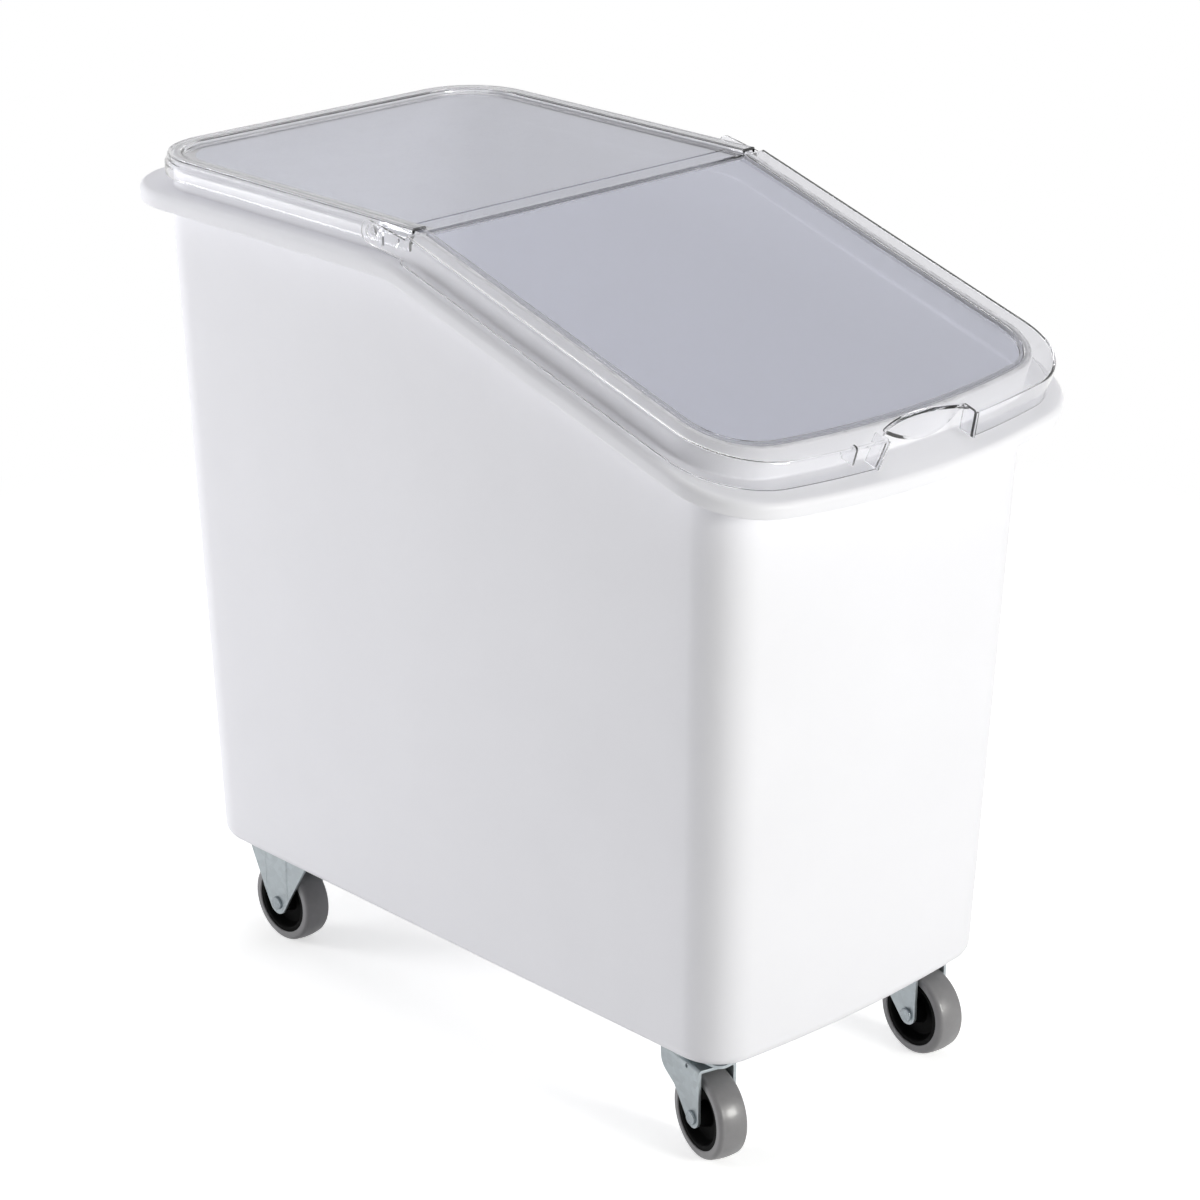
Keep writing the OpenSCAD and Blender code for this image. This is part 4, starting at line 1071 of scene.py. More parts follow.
class BIN_OT_front_lid(bpy.types.Operator):
    """Clear sloping lid over the front half, with ears, pegs and finger pull"""

    bl_idname = "bin.front_lid"
    bl_label = "Front lid"

    def execute(self, context):
        tub, lids, _, finishes = parts(context)
        form = bin_form(tub, lids)
        place = slope_place(tub, form)
        lid = self.sheet(lids, form, place)
        joined(lid, "DIFFERENCE", self.notch(lids, form, place))
        joined(lid, "UNION", self.cheeks(lids, form, place), finger_lip(lids, form, place))
        for side in SIDES.values():
            joined(lid, "UNION", *self.ear(tub, lids, form, side))
        joined(lid, "UNION", self.gusset(lids, form, place))
        dressed(lid, clear_polycarbonate(finishes), "front_lid", ["front_lid"])
        haze_and_shade_tint_panel(lid, place, lids, form.panel._replace(rear_corner=0), finishes)
        return {"FINISHED"}

    def sheet(self, lids, form, place):
        """Panel, raised border and skirt."""
        turn, shift = np.array(place.to_3x3()), np.array(place.translation)
        loops = []
        for plan, d, h in front_border(lids, form):
            path = front_path(grown(plan, d), -lids.front_start)
            loops.append(tall(path, h) @ turn.T + shift)
        return open_tray("front_lid_sheet", loops)

    def notch(self, lids, form, place):
        """What is cut away for the fingers: the part of an upright slot that lies inside the arch."""
        rear, depth, over = 70 * MM, 90 * MM, 2 * MM
        upright = place @ Matrix.Translation((0, rear - form.front_reach, 0)) @ ALONG
        slot = prism("notch", notch_outline(lids, 0), 0, depth, upright)
        circle = arc((0, form.arch_y), lids.arch_r, 0, 360, 240)
        return joined(slot, "INTERSECT", prism("arch", circle, -lids.front_skirt - over, over, place))

    def cheeks(self, lids, form, place):
        """Walls on both sides of the notch, behind the skirt."""
        depth, wall, side = lids.finger_room - 2 * MM, 0.8 * lids.sheet, 100 * MM
        start, end = 0.05 * MM, depth - 1.2 * MM
        upright = place @ Matrix.Translation((0, -form.front_reach, 0)) @ ALONG
        cheeks = prism("cheeks", notch_outline(lids, wall), -end, -start, upright)
        joined(cheeks, "DIFFERENCE", prism("gap", notch_outline(lids, 0), -depth, depth, upright))
        rear, front = side - form.front_reach, -side - form.front_reach
        square = [(-side, front), (side, front), (side, rear), (-side, rear)]
        band = prism("band", square, 0.1 * MM - lids.front_skirt, -lids.sheet / 2, place)
        return joined(cheeks, "INTERSECT", band)

    def ear(self, tub, lids, form, side):
        """Plate, collar, peg and ribs of one ear."""
        y, z = form.hinge
        place, mirror = slope_place(tub, form), Matrix.Diagonal((side, 1, 1, 1))
        root, out, hair = -lids.front_start - 14 * MM, form.front.half, 0.04 * MM
        rib_half, rib_up = 0.9 * MM, 1.2 * MM
        low, high = 2 * lids.sheet - lids.front_skirt, -lids.sheet
        ends = [(root, high), (root, low), (root - 4 * MM, 2 * high)]
        corners = [tuple((place @ Vector((0, *end)))[1:]) for end in ends]
        outline = hull([*arc((y, z), lids.ear_r, 0, 360, 60)] + corners)
        plate = prism("ear", outline, out - lids.sheet + hair, out - hair, mirror @ ACROSS)
        softened(plate, 0.5 * MM, 2)
        ribs = []
        for ends in EAR_RIBS:
            low, high = (Vector((y, z)) + Vector(end) * MM for end in ends)
            wide = (high - low).orthogonal().normalized() * rib_half
            outline = [low - wide, low + wide, high + wide, high - wide]
            rib = prism("rib", outline, out - MM, out + rib_up, mirror @ ACROSS)
            ribs.append(softened(rib, 0.4 * MM, 2))
        axis = Matrix.Translation((0, y, z)) @ mirror
        end = out - lids.sheet / 2
        collar = pin("collar", lids.collar_d / 2, form.lid.half + lids.collar_play, end, 0.4 * MM, axis, 64)
        peg = pin("peg", lids.peg_d / 2, form.neck.half + lids.neck_gap / 2, end, 0.5 * MM, axis, 48)
        return plate, collar, peg, *ribs

    def gusset(self, lids, form, place):
        """Small stiffening rib behind the skirt, left of the notch."""
        x = -lids.gusset_x
        y = -form.front_reach + x * x / 2 / lids.bow + lids.sheet / 2
        top, foot, tip = -lids.sheet / 2, 8 * MM - lids.front_skirt, y + lids.gusset_reach
        narrow, nose, half = 4 * MM, 3 * MM, MM
        outline = [(y, top), (y + narrow, top), (tip, foot + nose), (tip, foot), (y, foot)]
        rib = softened(prism("gusset", outline, x - half, x + half, ACROSS), 0.3 * MM, 2)
        rib.data.transform(place)
        return rib


def heading(end, side):
    """Rotation that sets x along a wheel's axle."""
    axis = Vector(JOINTS[f"{end}_{side}_spin"]["axis"])
    return Matrix.Rotation(math.atan2(axis.y, axis.x), 4, "Z")


def wheel_place(end, side):
    """Matrix of a wheel: its centre, with the axle along x."""
    return Matrix.Translation(JOINTS[f"{end}_{side}_spin"]["pos_m"]) @ heading(end, side)


def wheel_body(end, side):
    """Name of the body that carries the axle's fixed parts."""
    return f"front_{side}_swivel" if end == "front" else "bin"


class BIN_OT_wheels(bpy.types.Operator):
    """Grey treads on black dished hubs"""

    bl_idname = "bin.wheels"
    bl_label = "Wheels"

    def execute(self, context):
        _, _, casters, finishes = parts(context)
        tread, hub = self.tread(casters), self.hub(casters)
        rubber, plastic = grey_rubber(finishes), black_polypropylene(finishes)
        for end, side in WHEELS:
            place = wheel_place(end, side)
            body = f"{end}_{side}_wheel"
            piece = turned(f"{end}_{side}_tyre", tread, place, 128)
            dressed(piece, rubber, body, [f"{end}_{side}_tread"])
            piece = turned(f"{end}_{side}_wheel_hub", hub, place, 128)
            dressed(piece, plastic, body, [f"{end}_{side}_hub"])
        return {"FINISHED"}

    def tread(self, casters):
        """Profile of the crowned tread with its rounded shoulders."""
        w, outer, inner, edge = casters.tread_w / 2, casters.wheel_d / 2, casters.hub_d / 2, 0.6 * MM
        flat, bend = w - casters.tread_round, outer - casters.tread_crown - casters.tread_round
        profile = [(inner, edge - w), (inner + edge, -w)]
        profile += [*arc((bend, -flat), casters.tread_round, -90, 0, 10)]
        profile += [(outer - casters.tread_crown * q * q, q * flat) for q in np.linspace(-1, 1, 15)]
        profile += [*arc((bend, flat), casters.tread_round, 0, 90, 10)][1:]
        profile += [(bend, w), (inner + edge, w), (inner, w - edge)]
        return profile

    def hub(self, casters):
        """Profile of the hub, dished on both sides of its web."""
        bore = casters.axle_d / 2 + casters.axle_fit
        boss = casters.fork_gap / 2 - casters.hub_play
        boss_r = casters.boss_d / 2
        dish = casters.dish_d / 2
        web = casters.web_t / 2
        face = casters.tread_w / 2 - MM
        rim = casters.hub_d / 2
        # One half, from the bore over boss, web and dish to the rim under the tread.
        half = [(bore, boss), (boss_r - 0.5 * MM, boss), (boss_r + 2 * MM, web), (dish - 3 * MM, web)]
        half += [(dish, face - MM), (dish + MM, face), (rim, face)]
        # The corners at the bore and under the tread stay sharp.
        sharp = (0, 6, 7, 13)
        return filleted([(r, -x) for r, x in half] + half[::-1], 1.2 * MM, 4, sharp)


class BIN_OT_axles(bpy.types.Operator):
    """Riveted axles with domed heads"""

    bl_idname = "bin.axles"
    bl_label = "Axles"

    def execute(self, context):
        _, _, casters, finishes = parts(context)
        profile, steel = self.rivet(casters), bright_zinc(finishes)
        for end, side in WHEELS:
            piece = turned(f"{end}_{side}_axle_rivet", profile, wheel_place(end, side), 64)
            dressed(piece, steel, wheel_body(end, side), [f"{end}_{side}_axle"])
        return {"FINISHED"}

    def rivet(self, casters):
        """Profile of a shank with a domed head at each end."""
        out, r, shank = casters.fork_gap / 2 + casters.steel, casters.head_d / 2, casters.axle_d / 2
        # Height of the head's upright wall, the reach and the rise of the rounding over it, and its foot.
        wall, reach, rise, foot = 0.62 * casters.head_h, 1.1 * MM, 0.7 * MM, 0.3 * MM
        crown, dome = r - reach, casters.head_h - wall - rise
        half = [(shank, 0), (shank, out), (r - foot, out), (r, out + foot)]
        for a in np.radians(np.linspace(0, 80, 6)):
            half.append((crown + reach * math.cos(a), out + wall + rise * math.sin(a)))
        half += [(crown * q, out + casters.head_h - dome * q * q) for q in np.linspace(0.95, 0, 8)]
        return half + [(a, -b) for a, b in half[:0:-1]]


class BIN_OT_forks(bpy.types.Operator):
    """Pressed swivel forks with their lower raceway"""

    bl_idname = "bin.forks"
    bl_label = "Forks"

    def execute(self, context):
        _, _, casters, finishes = parts(context)
        steel = zinc_plated_sheet(finishes)
        for side in SIDES:
            fork = self.pressing(casters, f"front_{side}_fork_pressing")
            joined(fork, "UNION", self.raceway(casters))
            x, y, _ = JOINTS[f"front_{side}_swivel"]["pos_m"]
            fork.data.transform(Matrix.Translation((x, y, 0)) @ heading("front", side))
            dressed(fork, steel, f"front_{side}_swivel", [f"front_{side}_fork"])
        return {"FINISHED"}

    def pressing(self, casters, name):
        """Bent sheet cut to the fork's side view, with its holes."""
        axle_z = casters.wheel_d / 2
        through = casters.fork_gap / 2 + casters.steel + MM
        half_len = 60 * MM
        top, under = casters.crown_top, casters.crown_top - casters.steel
        fork = prism(name, self.channel(casters, axle_z - casters.tip_r - MM), -half_len, half_len, ALONG)
        joined(fork, "INTERSECT", prism("side_view", self.side_view(casters), -through, through, ACROSS))
        axle = Matrix.Translation((0, -casters.trail, axle_z))
        joined(fork, "DIFFERENCE", rod("bore", casters.axle_d / 2, -through, through, axle))
        bend = Matrix.Translation((0, -casters.relief_y, under - casters.relief_d / 4))
        joined(fork, "DIFFERENCE", rod("relief", casters.relief_d / 2, -through, through, bend, 40))
        eye_r = casters.pin_d / 2 + casters.pin_fit
        joined(fork, "DIFFERENCE", rod("eye", eye_r, under - MM, top + MM, STAND))
        return softened(fork, 0.45 * MM, 3, 50)

    def side_view(self, casters):
        """Outline of the legs: a straight front, the tip round the axle, the knee and the rounded heel."""
        axle_z, top = casters.wheel_d / 2, casters.crown_top
        tip = [*arc((-casters.trail, axle_z), casters.tip_r, 180, 318, 24)]
        knee = (casters.knee_back - casters.trail, axle_z + casters.knee_up)
        rear = [(casters.crown_rear, top), (casters.crown_rear - MM, axle_z + casters.heel_up), knee]
        heel = filleted(rear, casters.heel_r, 8, skip=(0, 2))[1:-1]
        corners = [(casters.crown_rear, top + MM), (-casters.trail - casters.tip_r, top + MM)]
        return corners + tip + [knee] + heel[::-1]

    def channel(self, casters, foot):
        """Cross-section of the bent sheet, with a larger radius outside the bends."""
        out, inn = casters.fork_gap / 2 + casters.steel, casters.fork_gap / 2
        top, under = casters.crown_top, casters.crown_top - casters.steel
        r, q = 3.2 * MM, 0.8 * MM
        right = [(inn, foot), (out, foot), *arc((out - r, top - r), r, 0, 90, 8), (out - r, top)]
        left = [(-x, z) for x, z in right[::-1]]
        inner = [*arc((q - inn, under - q), q, 180, 90, 4), (q - inn, under)]
        return right + left + inner + [(-x, z) for x, z in inner[::-1]]

    def raceway(self, casters):
        """Lower ring of the swivel bearing, with the groove for its balls."""
        inner, outer = (casters.race_d - casters.race_w) / 2, (casters.race_d + casters.race_w) / 2
        bevel, fit = 0.3 * MM, 0.05 * MM
        low, level = casters.crown_top - bevel, casters.crown_top + casters.race_t
        # The part of the balls' round that can lie below the ring's face.
        groove = arc((casters.race_d / 2, casters.ball_z), casters.ball_d / 2 + fit, 248, 292, 12)
        ring = [(inner, low), (inner, level - bevel), (inner + bevel, level)]
        ring += [p for p in groove if p[1] < level]
        ring += [(outer - bevel, level), (outer, level - bevel), (outer, low)]
        return turned("race", ring, STAND)


def eased(x):
    """A step from 0 to 1 with soft ends."""
    x = min(max(x, 0), 1)
    return x * x * (3 - 2 * x)


class BIN_OT_brackets(bpy.types.Operator):
    """Fixed rear brackets with swaged legs"""

    bl_idname = "bin.brackets"
    bl_label = "Brackets"

    def execute(self, context):
        tub, _, casters, finishes = parts(context)
        for side, sign in SIDES.items():
            piece = self.plate(tub, casters)
            for flip in (1, -1):
                joined(piece, "UNION", self.leg(tub, casters, flip))
            piece.name = f"rear_{side}_bracket_pressing"
            piece.data.transform(Matrix.Translation((sign * casters.caster_x, casters.rear_y, 0)))
            dressed(piece, zinc_plated_sheet(finishes), "bin", [f"rear_{side}_bracket"])
        return {"FINISHED"}

    def plate(self, tub, casters):
        """Mounting plate with rounded corners and bolt holes."""
        w, n = casters.plate_wid / 2, casters.plate_len / 2
        outline = filleted([(-w, -n), (w, -n), (w, n), (-w, n)], casters.plate_corner, 8)
        plate = prism("plate", outline, tub.base_z - casters.steel, tub.base_z, Matrix())
        r = casters.bolt_d / 2 + casters.bolt_fit
        for x in (-1, 1):
            for y in (-1, 1):
                spot = Matrix.Translation((x * casters.bolt_wid / 2, y * casters.bolt_len / 2, 0)) @ STAND
                joined(plate, "DIFFERENCE", rod("hole", r, 0, tub.base_z + MM, spot, 48))
        return softened(plate, 0.4 * MM, 2, 50)

    def leg(self, tub, casters, flip):
        """One leg: its middle is pressed outward by a swage that fades out above the axle."""
        axle_z, inn, out = casters.wheel_d / 2, casters.fork_gap / 2, casters.fork_gap / 2 + casters.steel
        top, waist = tub.base_z - casters.steel + 0.6 * MM, axle_z + casters.bracket_waist
        # Slope of the leg's sides where they leave its round tip, and bend of the wings beside the swage.
        lean, wing = math.radians(34), math.tan(math.radians(4))
        # Width of the swage's edges, and the height over which it fades out.
        soft, fade = 0.9 * MM, 6 * MM
        side_y = casters.bracket_tip_r * math.cos(lean)
        side_z = axle_z - casters.bracket_tip_r * math.sin(lean)

        def half_width(z):
            """Half width of the leg at a height."""
            if z >= waist:
                return casters.bracket_half
            if z <= side_z:
                return math.sqrt(max(casters.bracket_tip_r**2 - (axle_z - z) ** 2, 0))
            return side_y + (casters.bracket_half - side_y) * (z - side_z) / (waist - side_z)

        def swage(y, z):
            """How far the sheet is pressed outward at a place."""
            pressed = casters.swage_t * eased((casters.swage_half + soft / 2 - abs(y)) / soft)
            bent = max(abs(y) - casters.swage_half, 0) * wing
            return (pressed - bent) * eased((z - axle_z - casters.tip_r) / fade)

        columns, tip_rows, rows = 41, 9, 26
        edges = [(casters.swage_half + d) / casters.bracket_half for d in (-soft, 0, soft)]
        across = sorted({*np.linspace(-1, 1, columns), *edges, *(-v for v in edges)})
        # The lowest row lies a little beside the very tip, so that it has a width.
        turns = np.linspace(0.06, math.pi / 2 - lean, tip_rows)
        heights = [axle_z - casters.bracket_tip_r * math.cos(a) for a in turns]
        heights += [*np.linspace(side_z, waist, rows)[1:], top]
        spots = [(v * half_width(z), z) for z in heights for v in across]
        layers = [[(x + swage(y, z), y, z) for y, z in spots] for x in (inn, out)]
        mirror = Matrix.Diagonal((flip, 1, 1, 1))
        leg = closed_sheet("leg", layers, len(across), mirror)
        # A pressed line along each edge of the swage.
        face = out + casters.swage_t / 2
        bottom, mouth, half = face - 0.9 * MM, face + 2 * MM, 2.2 * MM
        for y in (-casters.swage_half, casters.swage_half):
            groove = [(bottom, y), (mouth, y - half), (mouth, y + half)]
            joined(leg, "DIFFERENCE", prism("press_line", groove, axle_z, top + MM, mirror))
        axle, through = Matrix.Translation((0, 0, axle_z)), 60 * MM
        joined(leg, "DIFFERENCE", rod("bore", casters.axle_d / 2, -through, through, axle))
        return softened(leg, 0.4 * MM, 2, 50)


def dotted(name, places):
    """A piece that holds only points, for a pattern to fill."""
    mesh = bpy.data.meshes.new(name)
    mesh.from_pydata(places, [], [])
    piece = bpy.data.objects.new(name, mesh)
    bpy.context.scene.collection.objects.link(piece)
    return piece


def new_pattern(name, inputs):
    """An empty node tree for laying out repeated pieces, with named inputs of certain kinds."""
    tree = bpy.data.node_groups.new(name, "GeometryNodeTree")
    for label, kind in {"Geometry": "Geometry", **inputs}.items():
        tree.interface.new_socket(label, in_out="INPUT", socket_type=f"NodeSocket{kind}")
    tree.interface.new_socket("Geometry", in_out="OUTPUT", socket_type="NodeSocketGeometry")
    return tree, add_node(tree, "NodeGroupInput").outputs


def repeated(tree, points, shape):
    """A shape at every point, as plain geometry."""
    copies = add_node(tree, "GeometryNodeInstanceOnPoints", {"Points": points, "Instance": shape})
    plain = add_node(tree, "GeometryNodeRealizeInstances", {"Geometry": copies.outputs["Instances"]})
    return plain.outputs["Geometry"]


def finished(tree, shape, finish):
    """Ends a pattern with its shape and its finish."""
    done = add_node(tree, "GeometryNodeSetMaterial", {"Geometry": shape, "Material": finish})
    add_node(tree, "NodeGroupOutput", {"Geometry": done.outputs["Geometry"]})
    return tree


def ball_ring():
    """Pattern: balls on a circle round each point."""
    inputs = {"Ball diameter": "Float", "Circle diameter": "Float", "Count": "Int", "Finish": "Material"}
    tree, given = new_pattern("ball ring", inputs)
    ball_r = reckoned(tree, "MULTIPLY", given["Ball diameter"], 0.5)
    ring_r = reckoned(tree, "MULTIPLY", given["Circle diameter"], 0.5)
    ring = add_node(tree, "GeometryNodeMeshCircle", {"Vertices": given["Count"], "Radius": ring_r})
    spots = repeated(tree, given["Geometry"], ring.outputs["Mesh"])
    ball = add_node(tree, "GeometryNodeMeshUVSphere", {"Segments": 24, "Rings": 14, "Radius": ball_r})
    return finished(tree, repeated(tree, spots, ball.outputs["Mesh"]), given["Finish"])


def bolt_pattern():
    """Pattern: one fastener at each corner of a rectangle round each point."""
    inputs = {"Spacing across": "Float", "Spacing along": "Float", "Fastener": "Object", "Finish": "Material"}
    tree, given = new_pattern("bolt pattern", inputs)
    spacing = {"Size X": given["Spacing across"], "Size Y": given["Spacing along"]}
    grid = add_node(tree, "GeometryNodeMeshGrid", {**spacing, "Vertices X": 2, "Vertices Y": 2})
    spots = repeated(tree, given["Geometry"], grid.outputs["Mesh"])
    shape = add_node(tree, "GeometryNodeObjectInfo", {"Object": given["Fastener"]})
    return finished(tree, repeated(tree, spots, shape.outputs["Geometry"]), given["Finish"])


def laid_out(piece, tree, values):
    """Runs a pattern on a piece's points and keeps the result as plain mesh."""
    pattern = piece.modifiers.new(tree.name, "NODES")
    pattern.node_group = tree
    for item in tree.interface.items_tree:
        if item.item_type == "SOCKET" and item.in_out == "INPUT" and item.name in values:
            pattern[item.identifier] = values[item.name]
    return settle(piece)


class BIN_OT_swivels(bpy.types.Operator):
    """Top plates, king pins and bearing balls of the front casters"""

    bl_idname = "bin.swivels"
    bl_label = "Swivel bearings"

    def execute(self, context):
        _, _, casters, finishes = parts(context)
        steel, tree = bright_zinc(finishes), ball_ring()
        values = {
            "Ball diameter": casters.ball_d,
            "Circle diameter": casters.race_d,
            "Count": casters.ball_count,
            "Finish": steel,
        }
        for side, sign in SIDES.items():
            for node, finish in (("plate", zinc_plated_sheet), ("pin", bright_zinc)):
                shown = frame["nodes"][f"front_{side}_{node}"]
                shown.data.materials.clear()
                shown.data.materials.append(finish(finishes))
            middle = (sign * casters.caster_x, -casters.front_y, casters.ball_z)
            piece = laid_out(dotted(f"front_{side}_bearing_balls", [middle]), tree, values)
            dressed(piece, steel, "bin", [f"front_{side}_balls"], 180)
        return {"FINISHED"}


class BIN_OT_fasteners(bpy.types.Operator):
    """Bolts, washers and nuts that hold the casters to the floor of the tub"""

    bl_idname = "bin.fasteners"
    bl_label = "Fasteners"

    def execute(self, context):
        tub, _, casters, finishes = parts(context)
        floor_z, plate_z = tub.base_z + tub.floor_t, tub.base_z - casters.steel
        seat, tail = floor_z + casters.washer_t, plate_z - casters.nut_h - casters.bolt_tail
        singles = {
            "bolt": self.bolt(casters, seat, tail),
            "washer": self.washer(casters, floor_z),
            "nut": self.nut(casters, plate_z),
        }
        steel, tree = bright_zinc(finishes), bolt_pattern()
        values = {"Spacing across": casters.bolt_wid, "Spacing along": casters.bolt_len, "Finish": steel}
        ends = (-casters.front_y, casters.rear_y)
        places = [(sign * casters.caster_x, y, 0) for sign in SIDES.values() for y in ends]
        for kind, single in singles.items():
            piece = laid_out(dotted(f"caster_{kind}_set", places), tree, {**values, "Fastener": single})
            dressed(piece, steel, "bin", [f"caster_{kind}s"])
            bpy.data.objects.remove(single)
        return {"FINISHED"}

    def bolt(self, casters, seat, tail):
        """Bolt from its tail, with a chamfer, to the domed head on its seat."""
        head_r, shank, chamfer = casters.bolt_head_d / 2, casters.bolt_d / 2, 0.6 * MM
        profile = [(0, tail), (shank - chamfer, tail), (shank, tail + chamfer), (shank, seat), (head_r, seat)]
        for a in np.radians(np.linspace(12, 90, 9)):
            profile.append((head_r * math.cos(a), seat + casters.bolt_head_h * math.sin(a)))
        return turned("bolt", profile, STAND, 40)

    def washer(self, casters, low):
        """Flat washer with softened edges."""
        inner = casters.bolt_d / 2 + casters.bolt_fit
        outer = casters.washer_d / 2
        high = low + casters.washer_t
        ring = filleted([(inner, low), (outer, low), (outer, high), (inner, high)], 0.25 * MM, 2)
        return turned("washer", ring, STAND, 40)

    def nut(self, casters, high):
        """Hexagon nut with chamfered corners and a plain bore."""
        low, face_r = high - casters.nut_h, 1.02 * casters.nut_af / 2
        wide = face_r + 1.6 * MM
        nut = prism("nut", arc((0, 0), casters.nut_af / math.sqrt(3), 0, 360, 6), low, high, Matrix())
        blank = [(0, low), (face_r, low), (wide, low + MM), (wide, high - MM), (face_r, high), (0, high)]
        joined(nut, "INTERSECT", turned("blank", blank, STAND, 64))
        bore = rod("thread", casters.bolt_d / 2, low - MM, high + MM, STAND, 40)
        return joined(nut, "DIFFERENCE", bore)


Lamp = namedtuple("Lamp", "name power colour width height place aim mirrored")


def shown_white(tree):
    """How white the room is to a ray: 1 seen straight or through a lid, half in a reflection, 0 as light."""
    ray = add_node(tree, "ShaderNodeLightPath").outputs
    mirrored = reckoned(tree, "MULTIPLY", ray["Is Glossy Ray"], 0.5)
    straight = reckoned(tree, "MAXIMUM", ray["Is Camera Ray"], ray["Is Transmission Ray"])
    return reckoned(tree, "MAXIMUM", straight, mirrored)


@made_once("pale_studio_floor")
def floor_paint(tree, place, stage, finishes):
    """Pale matte floor that reads white to the camera and keeps the shadow."""
    paint = add_node(tree, "ShaderNodeBsdfDiffuse", {"Color": tinted(finishes.floor)})
    seen = shown_white(tree)
    lift = reckoned(tree, "MULTIPLY", seen, stage.lift)
    glow = add_node(tree, "ShaderNodeEmission", {"Strength": lift})
    near = add_node(tree, "ShaderNodeAddShader", {0: paint.outputs["BSDF"], 1: glow.outputs["Emission"]})
    # From 0.8 m to 1.5 m out the floor passes into the white behind it.
    away = add_node(tree, "ShaderNodeVectorMath", {0: place}, operation="LENGTH").outputs["Value"]
    reach = {"Value": away, "From Min": 0.8, "From Max": 1.5}
    fade = add_node(tree, "ShaderNodeMapRange", reach, interpolation_type="SMOOTHSTEP").outputs["Result"]
    far = add_node(tree, "ShaderNodeEmission", {"Strength": 1.0})
    both = {1: near.outputs["Shader"], 2: far.outputs["Emission"]}
    whole = add_node(tree, "ShaderNodeMixShader", {0: reckoned(tree, "MULTIPLY", fade, seen), **both})
    add_node(tree, "ShaderNodeOutputMaterial", {"Surface": whole.outputs["Shader"]})


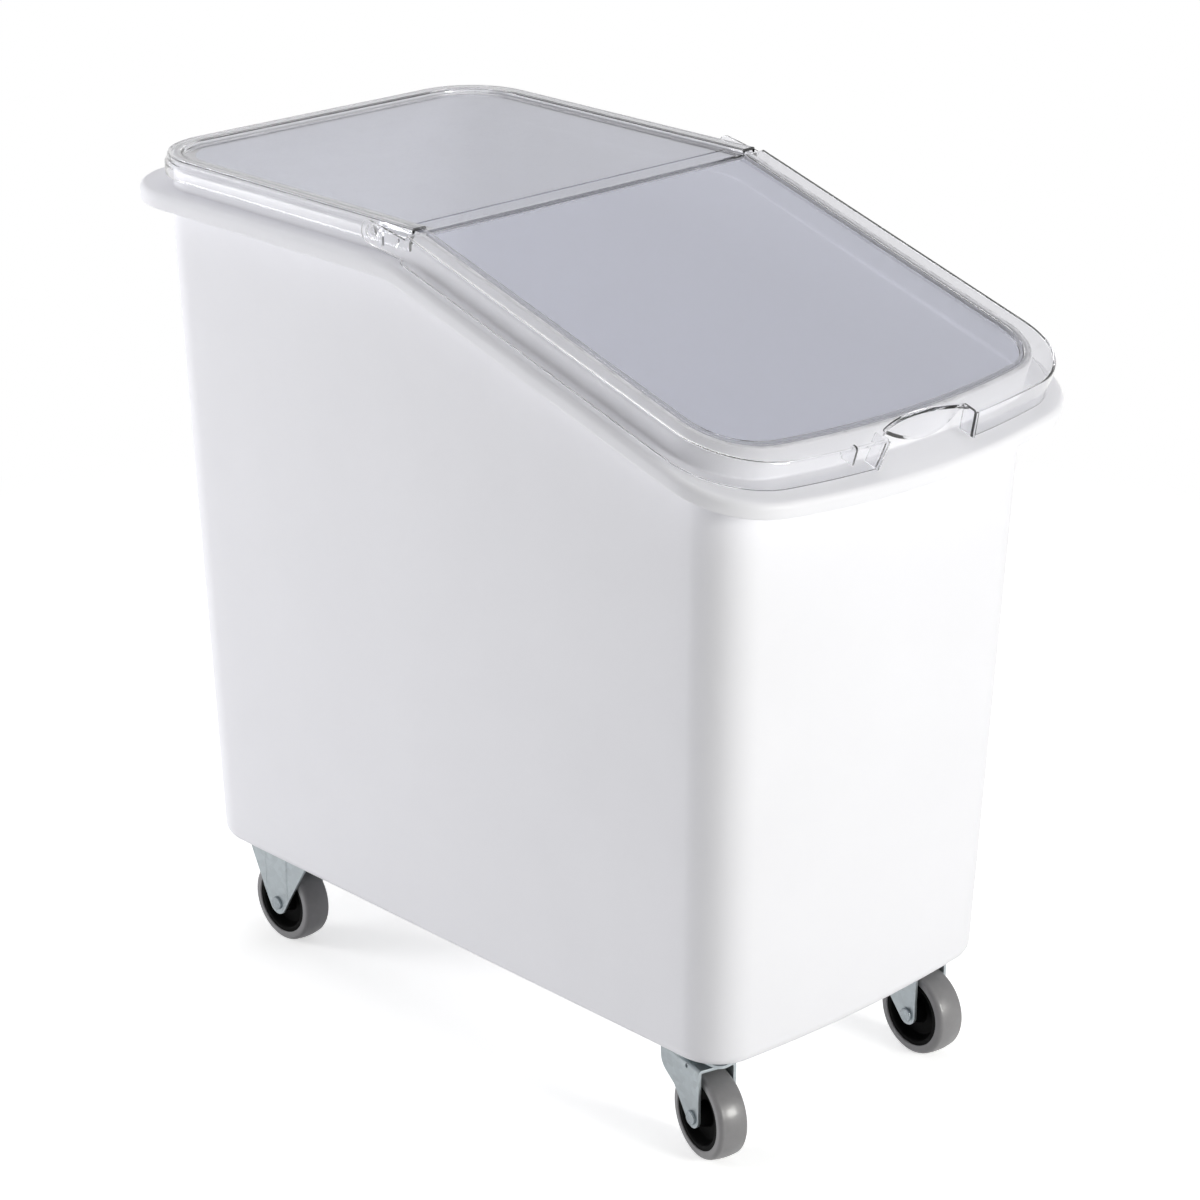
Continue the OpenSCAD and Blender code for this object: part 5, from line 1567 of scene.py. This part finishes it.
class BIN_OT_stage(bpy.types.Operator):
    """Pale floor, soft lamps and the camera"""

    bl_idname = "bin.stage"
    bl_label = "Studio"

    def execute(self, context):
        scene, stage, finishes = context.scene, context.scene.bin_stage, context.scene.bin_finishes
        scene.view_settings.view_transform = "Standard"
        bpy.ops.mesh.primitive_plane_add(size=14)
        floor = context.object
        floor.name = "studio_floor"
        floor.data.materials.append(floor_paint(stage, finishes))
        self.world(scene, stage)
        self.lamps(scene, stage)
        self.camera(scene, stage)
        return {"FINISHED"}

    def lamps(self, scene, stage):
        """Soft lamps; those at the sides light the walls and leave no mirror image on the lids."""
        warm, plain = (1, 0.998, 0.955), (1, 1, 1)
        # Widths, heights, places and aims in metres.
        found = (
            Lamp("key_lamp", stage.key, warm, 1.1, 1.1, (0.5, -3.55, 1.15), (0, -0.3, 0.4), True),
            Lamp("side_lamp", stage.side, plain, 1.6, 1.4, (-2.5, 3.2, 0.8), (-0.2, 0, 0.4), False),
            Lamp("fill_lamp", stage.fill, plain, 1.6, 1.4, (3, 1, 0.9), (0.2, 0, 0.4), False),
            Lamp("top_lamp", stage.top, plain, 2, 2, (0.2, 0.3, 2.9), (0, 0, 0.6), True),
        )
        for lamp in found:
            light = bpy.data.lights.new(lamp.name, "AREA")
            light.shape = "RECTANGLE"
            light.size, light.size_y = lamp.width, lamp.height
            light.energy, light.color = lamp.power, lamp.colour
            holder = bpy.data.objects.new(lamp.name, light)
            holder.location = lamp.place
            ahead = Vector(lamp.aim) - Vector(lamp.place)
            holder.rotation_euler = ahead.to_track_quat("-Z", "Y").to_euler()
            holder.visible_glossy = lamp.mirrored
            scene.collection.objects.link(holder)

    def world(self, scene, stage):
        """White behind the object, and an even dim room for its light."""
        scene.world = bpy.data.worlds.new("studio_room")
        scene.world.use_nodes = True
        tree = scene.world.node_tree
        tree.nodes.clear()
        level = spread(tree, shown_white(tree), stage.ambient, 1.0, 0.0, 1.0)
        sky = add_node(tree, "ShaderNodeBackground", {"Color": (1, 1, 1, 1), "Strength": level})
        add_node(tree, "ShaderNodeOutputWorld", {"Surface": sky.outputs["Background"]})

    def camera(self, scene, stage):
        """Camera at the photograph's angle."""
        a, e, r = stage.heading, stage.down, stage.roll
        ahead = Vector((math.sin(a) * math.cos(e), math.cos(a) * math.cos(e), -math.sin(e)))
        level = Vector((math.cos(a), -math.sin(a), 0))
        below = ahead.cross(level)
        right = level * math.cos(r) + below * math.sin(r)
        up = level * math.sin(r) - below * math.cos(r)
        lens = bpy.data.cameras.new("photo_camera")
        lens.sensor_width, lens.lens = stage.sensor, stage.lens
        lens.clip_start, lens.clip_end = 0.05, 60
        holder = bpy.data.objects.new("photo_camera", lens)
        turn = Matrix((right, up, -ahead)).transposed().to_4x4()
        holder.matrix_world = Matrix.Translation(stage.eye) @ turn
        scene.collection.objects.link(holder)
        scene.camera = holder


class BIN_PT_panel(bpy.types.Panel):
    """Lists the pieces of the bin"""

    bl_idname = "BIN_PT_panel"
    bl_label = "Ingredient bin"
    bl_space_type = "VIEW_3D"
    bl_region_type = "UI"
    bl_category = "Bin"

    def draw(self, context):
        for piece in PIECES:
            self.layout.operator(piece.bl_idname)
        for name in SETTINGS:
            group = getattr(context.scene, name)
            box = self.layout.box()
            box.label(text=group.bl_rna.name)
            for key in group.bl_rna.properties.keys():
                if key not in ("rna_type", "name"):
                    box.prop(group, key)


PIECES = (
    BIN_OT_tub,
    BIN_OT_rear_lid,
    BIN_OT_front_lid,
    BIN_OT_wheels,
    BIN_OT_axles,
    BIN_OT_forks,
    BIN_OT_brackets,
    BIN_OT_swivels,
    BIN_OT_fasteners,
    BIN_OT_stage,
)
SETTINGS = {
    "bin_tub": TubSizes,
    "bin_lids": LidSizes,
    "bin_casters": CasterSizes,
    "bin_finishes": Finishes,
    "bin_stage": StageSettings,
}


def register():
    """Registers the settings, the operators and the panel."""
    for cls in (*SETTINGS.values(), *PIECES, BIN_PT_panel):
        bpy.utils.register_class(cls)
    for name, cls in SETTINGS.items():
        setattr(bpy.types.Scene, name, PointerProperty(type=cls))


def unregister():
    """Removes what register added."""
    for name in SETTINGS:
        delattr(bpy.types.Scene, name)
    for cls in (BIN_PT_panel, *PIECES[::-1], *reversed(SETTINGS.values())):
        bpy.utils.unregister_class(cls)


def main():
    """Builds every piece and the studio."""
    for unused in ("Cube", "Light", "Camera"):
        if unused in bpy.data.objects:
            bpy.data.objects.remove(bpy.data.objects[unused])
    register()
    bpy.ops.bin.tub()
    bpy.ops.bin.rear_lid()
    bpy.ops.bin.front_lid()
    bpy.ops.bin.wheels()
    bpy.ops.bin.axles()
    bpy.ops.bin.forks()
    bpy.ops.bin.brackets()
    bpy.ops.bin.swivels()
    bpy.ops.bin.fasteners()
    bpy.ops.bin.stage()


if __name__ == "__main__":
    main()
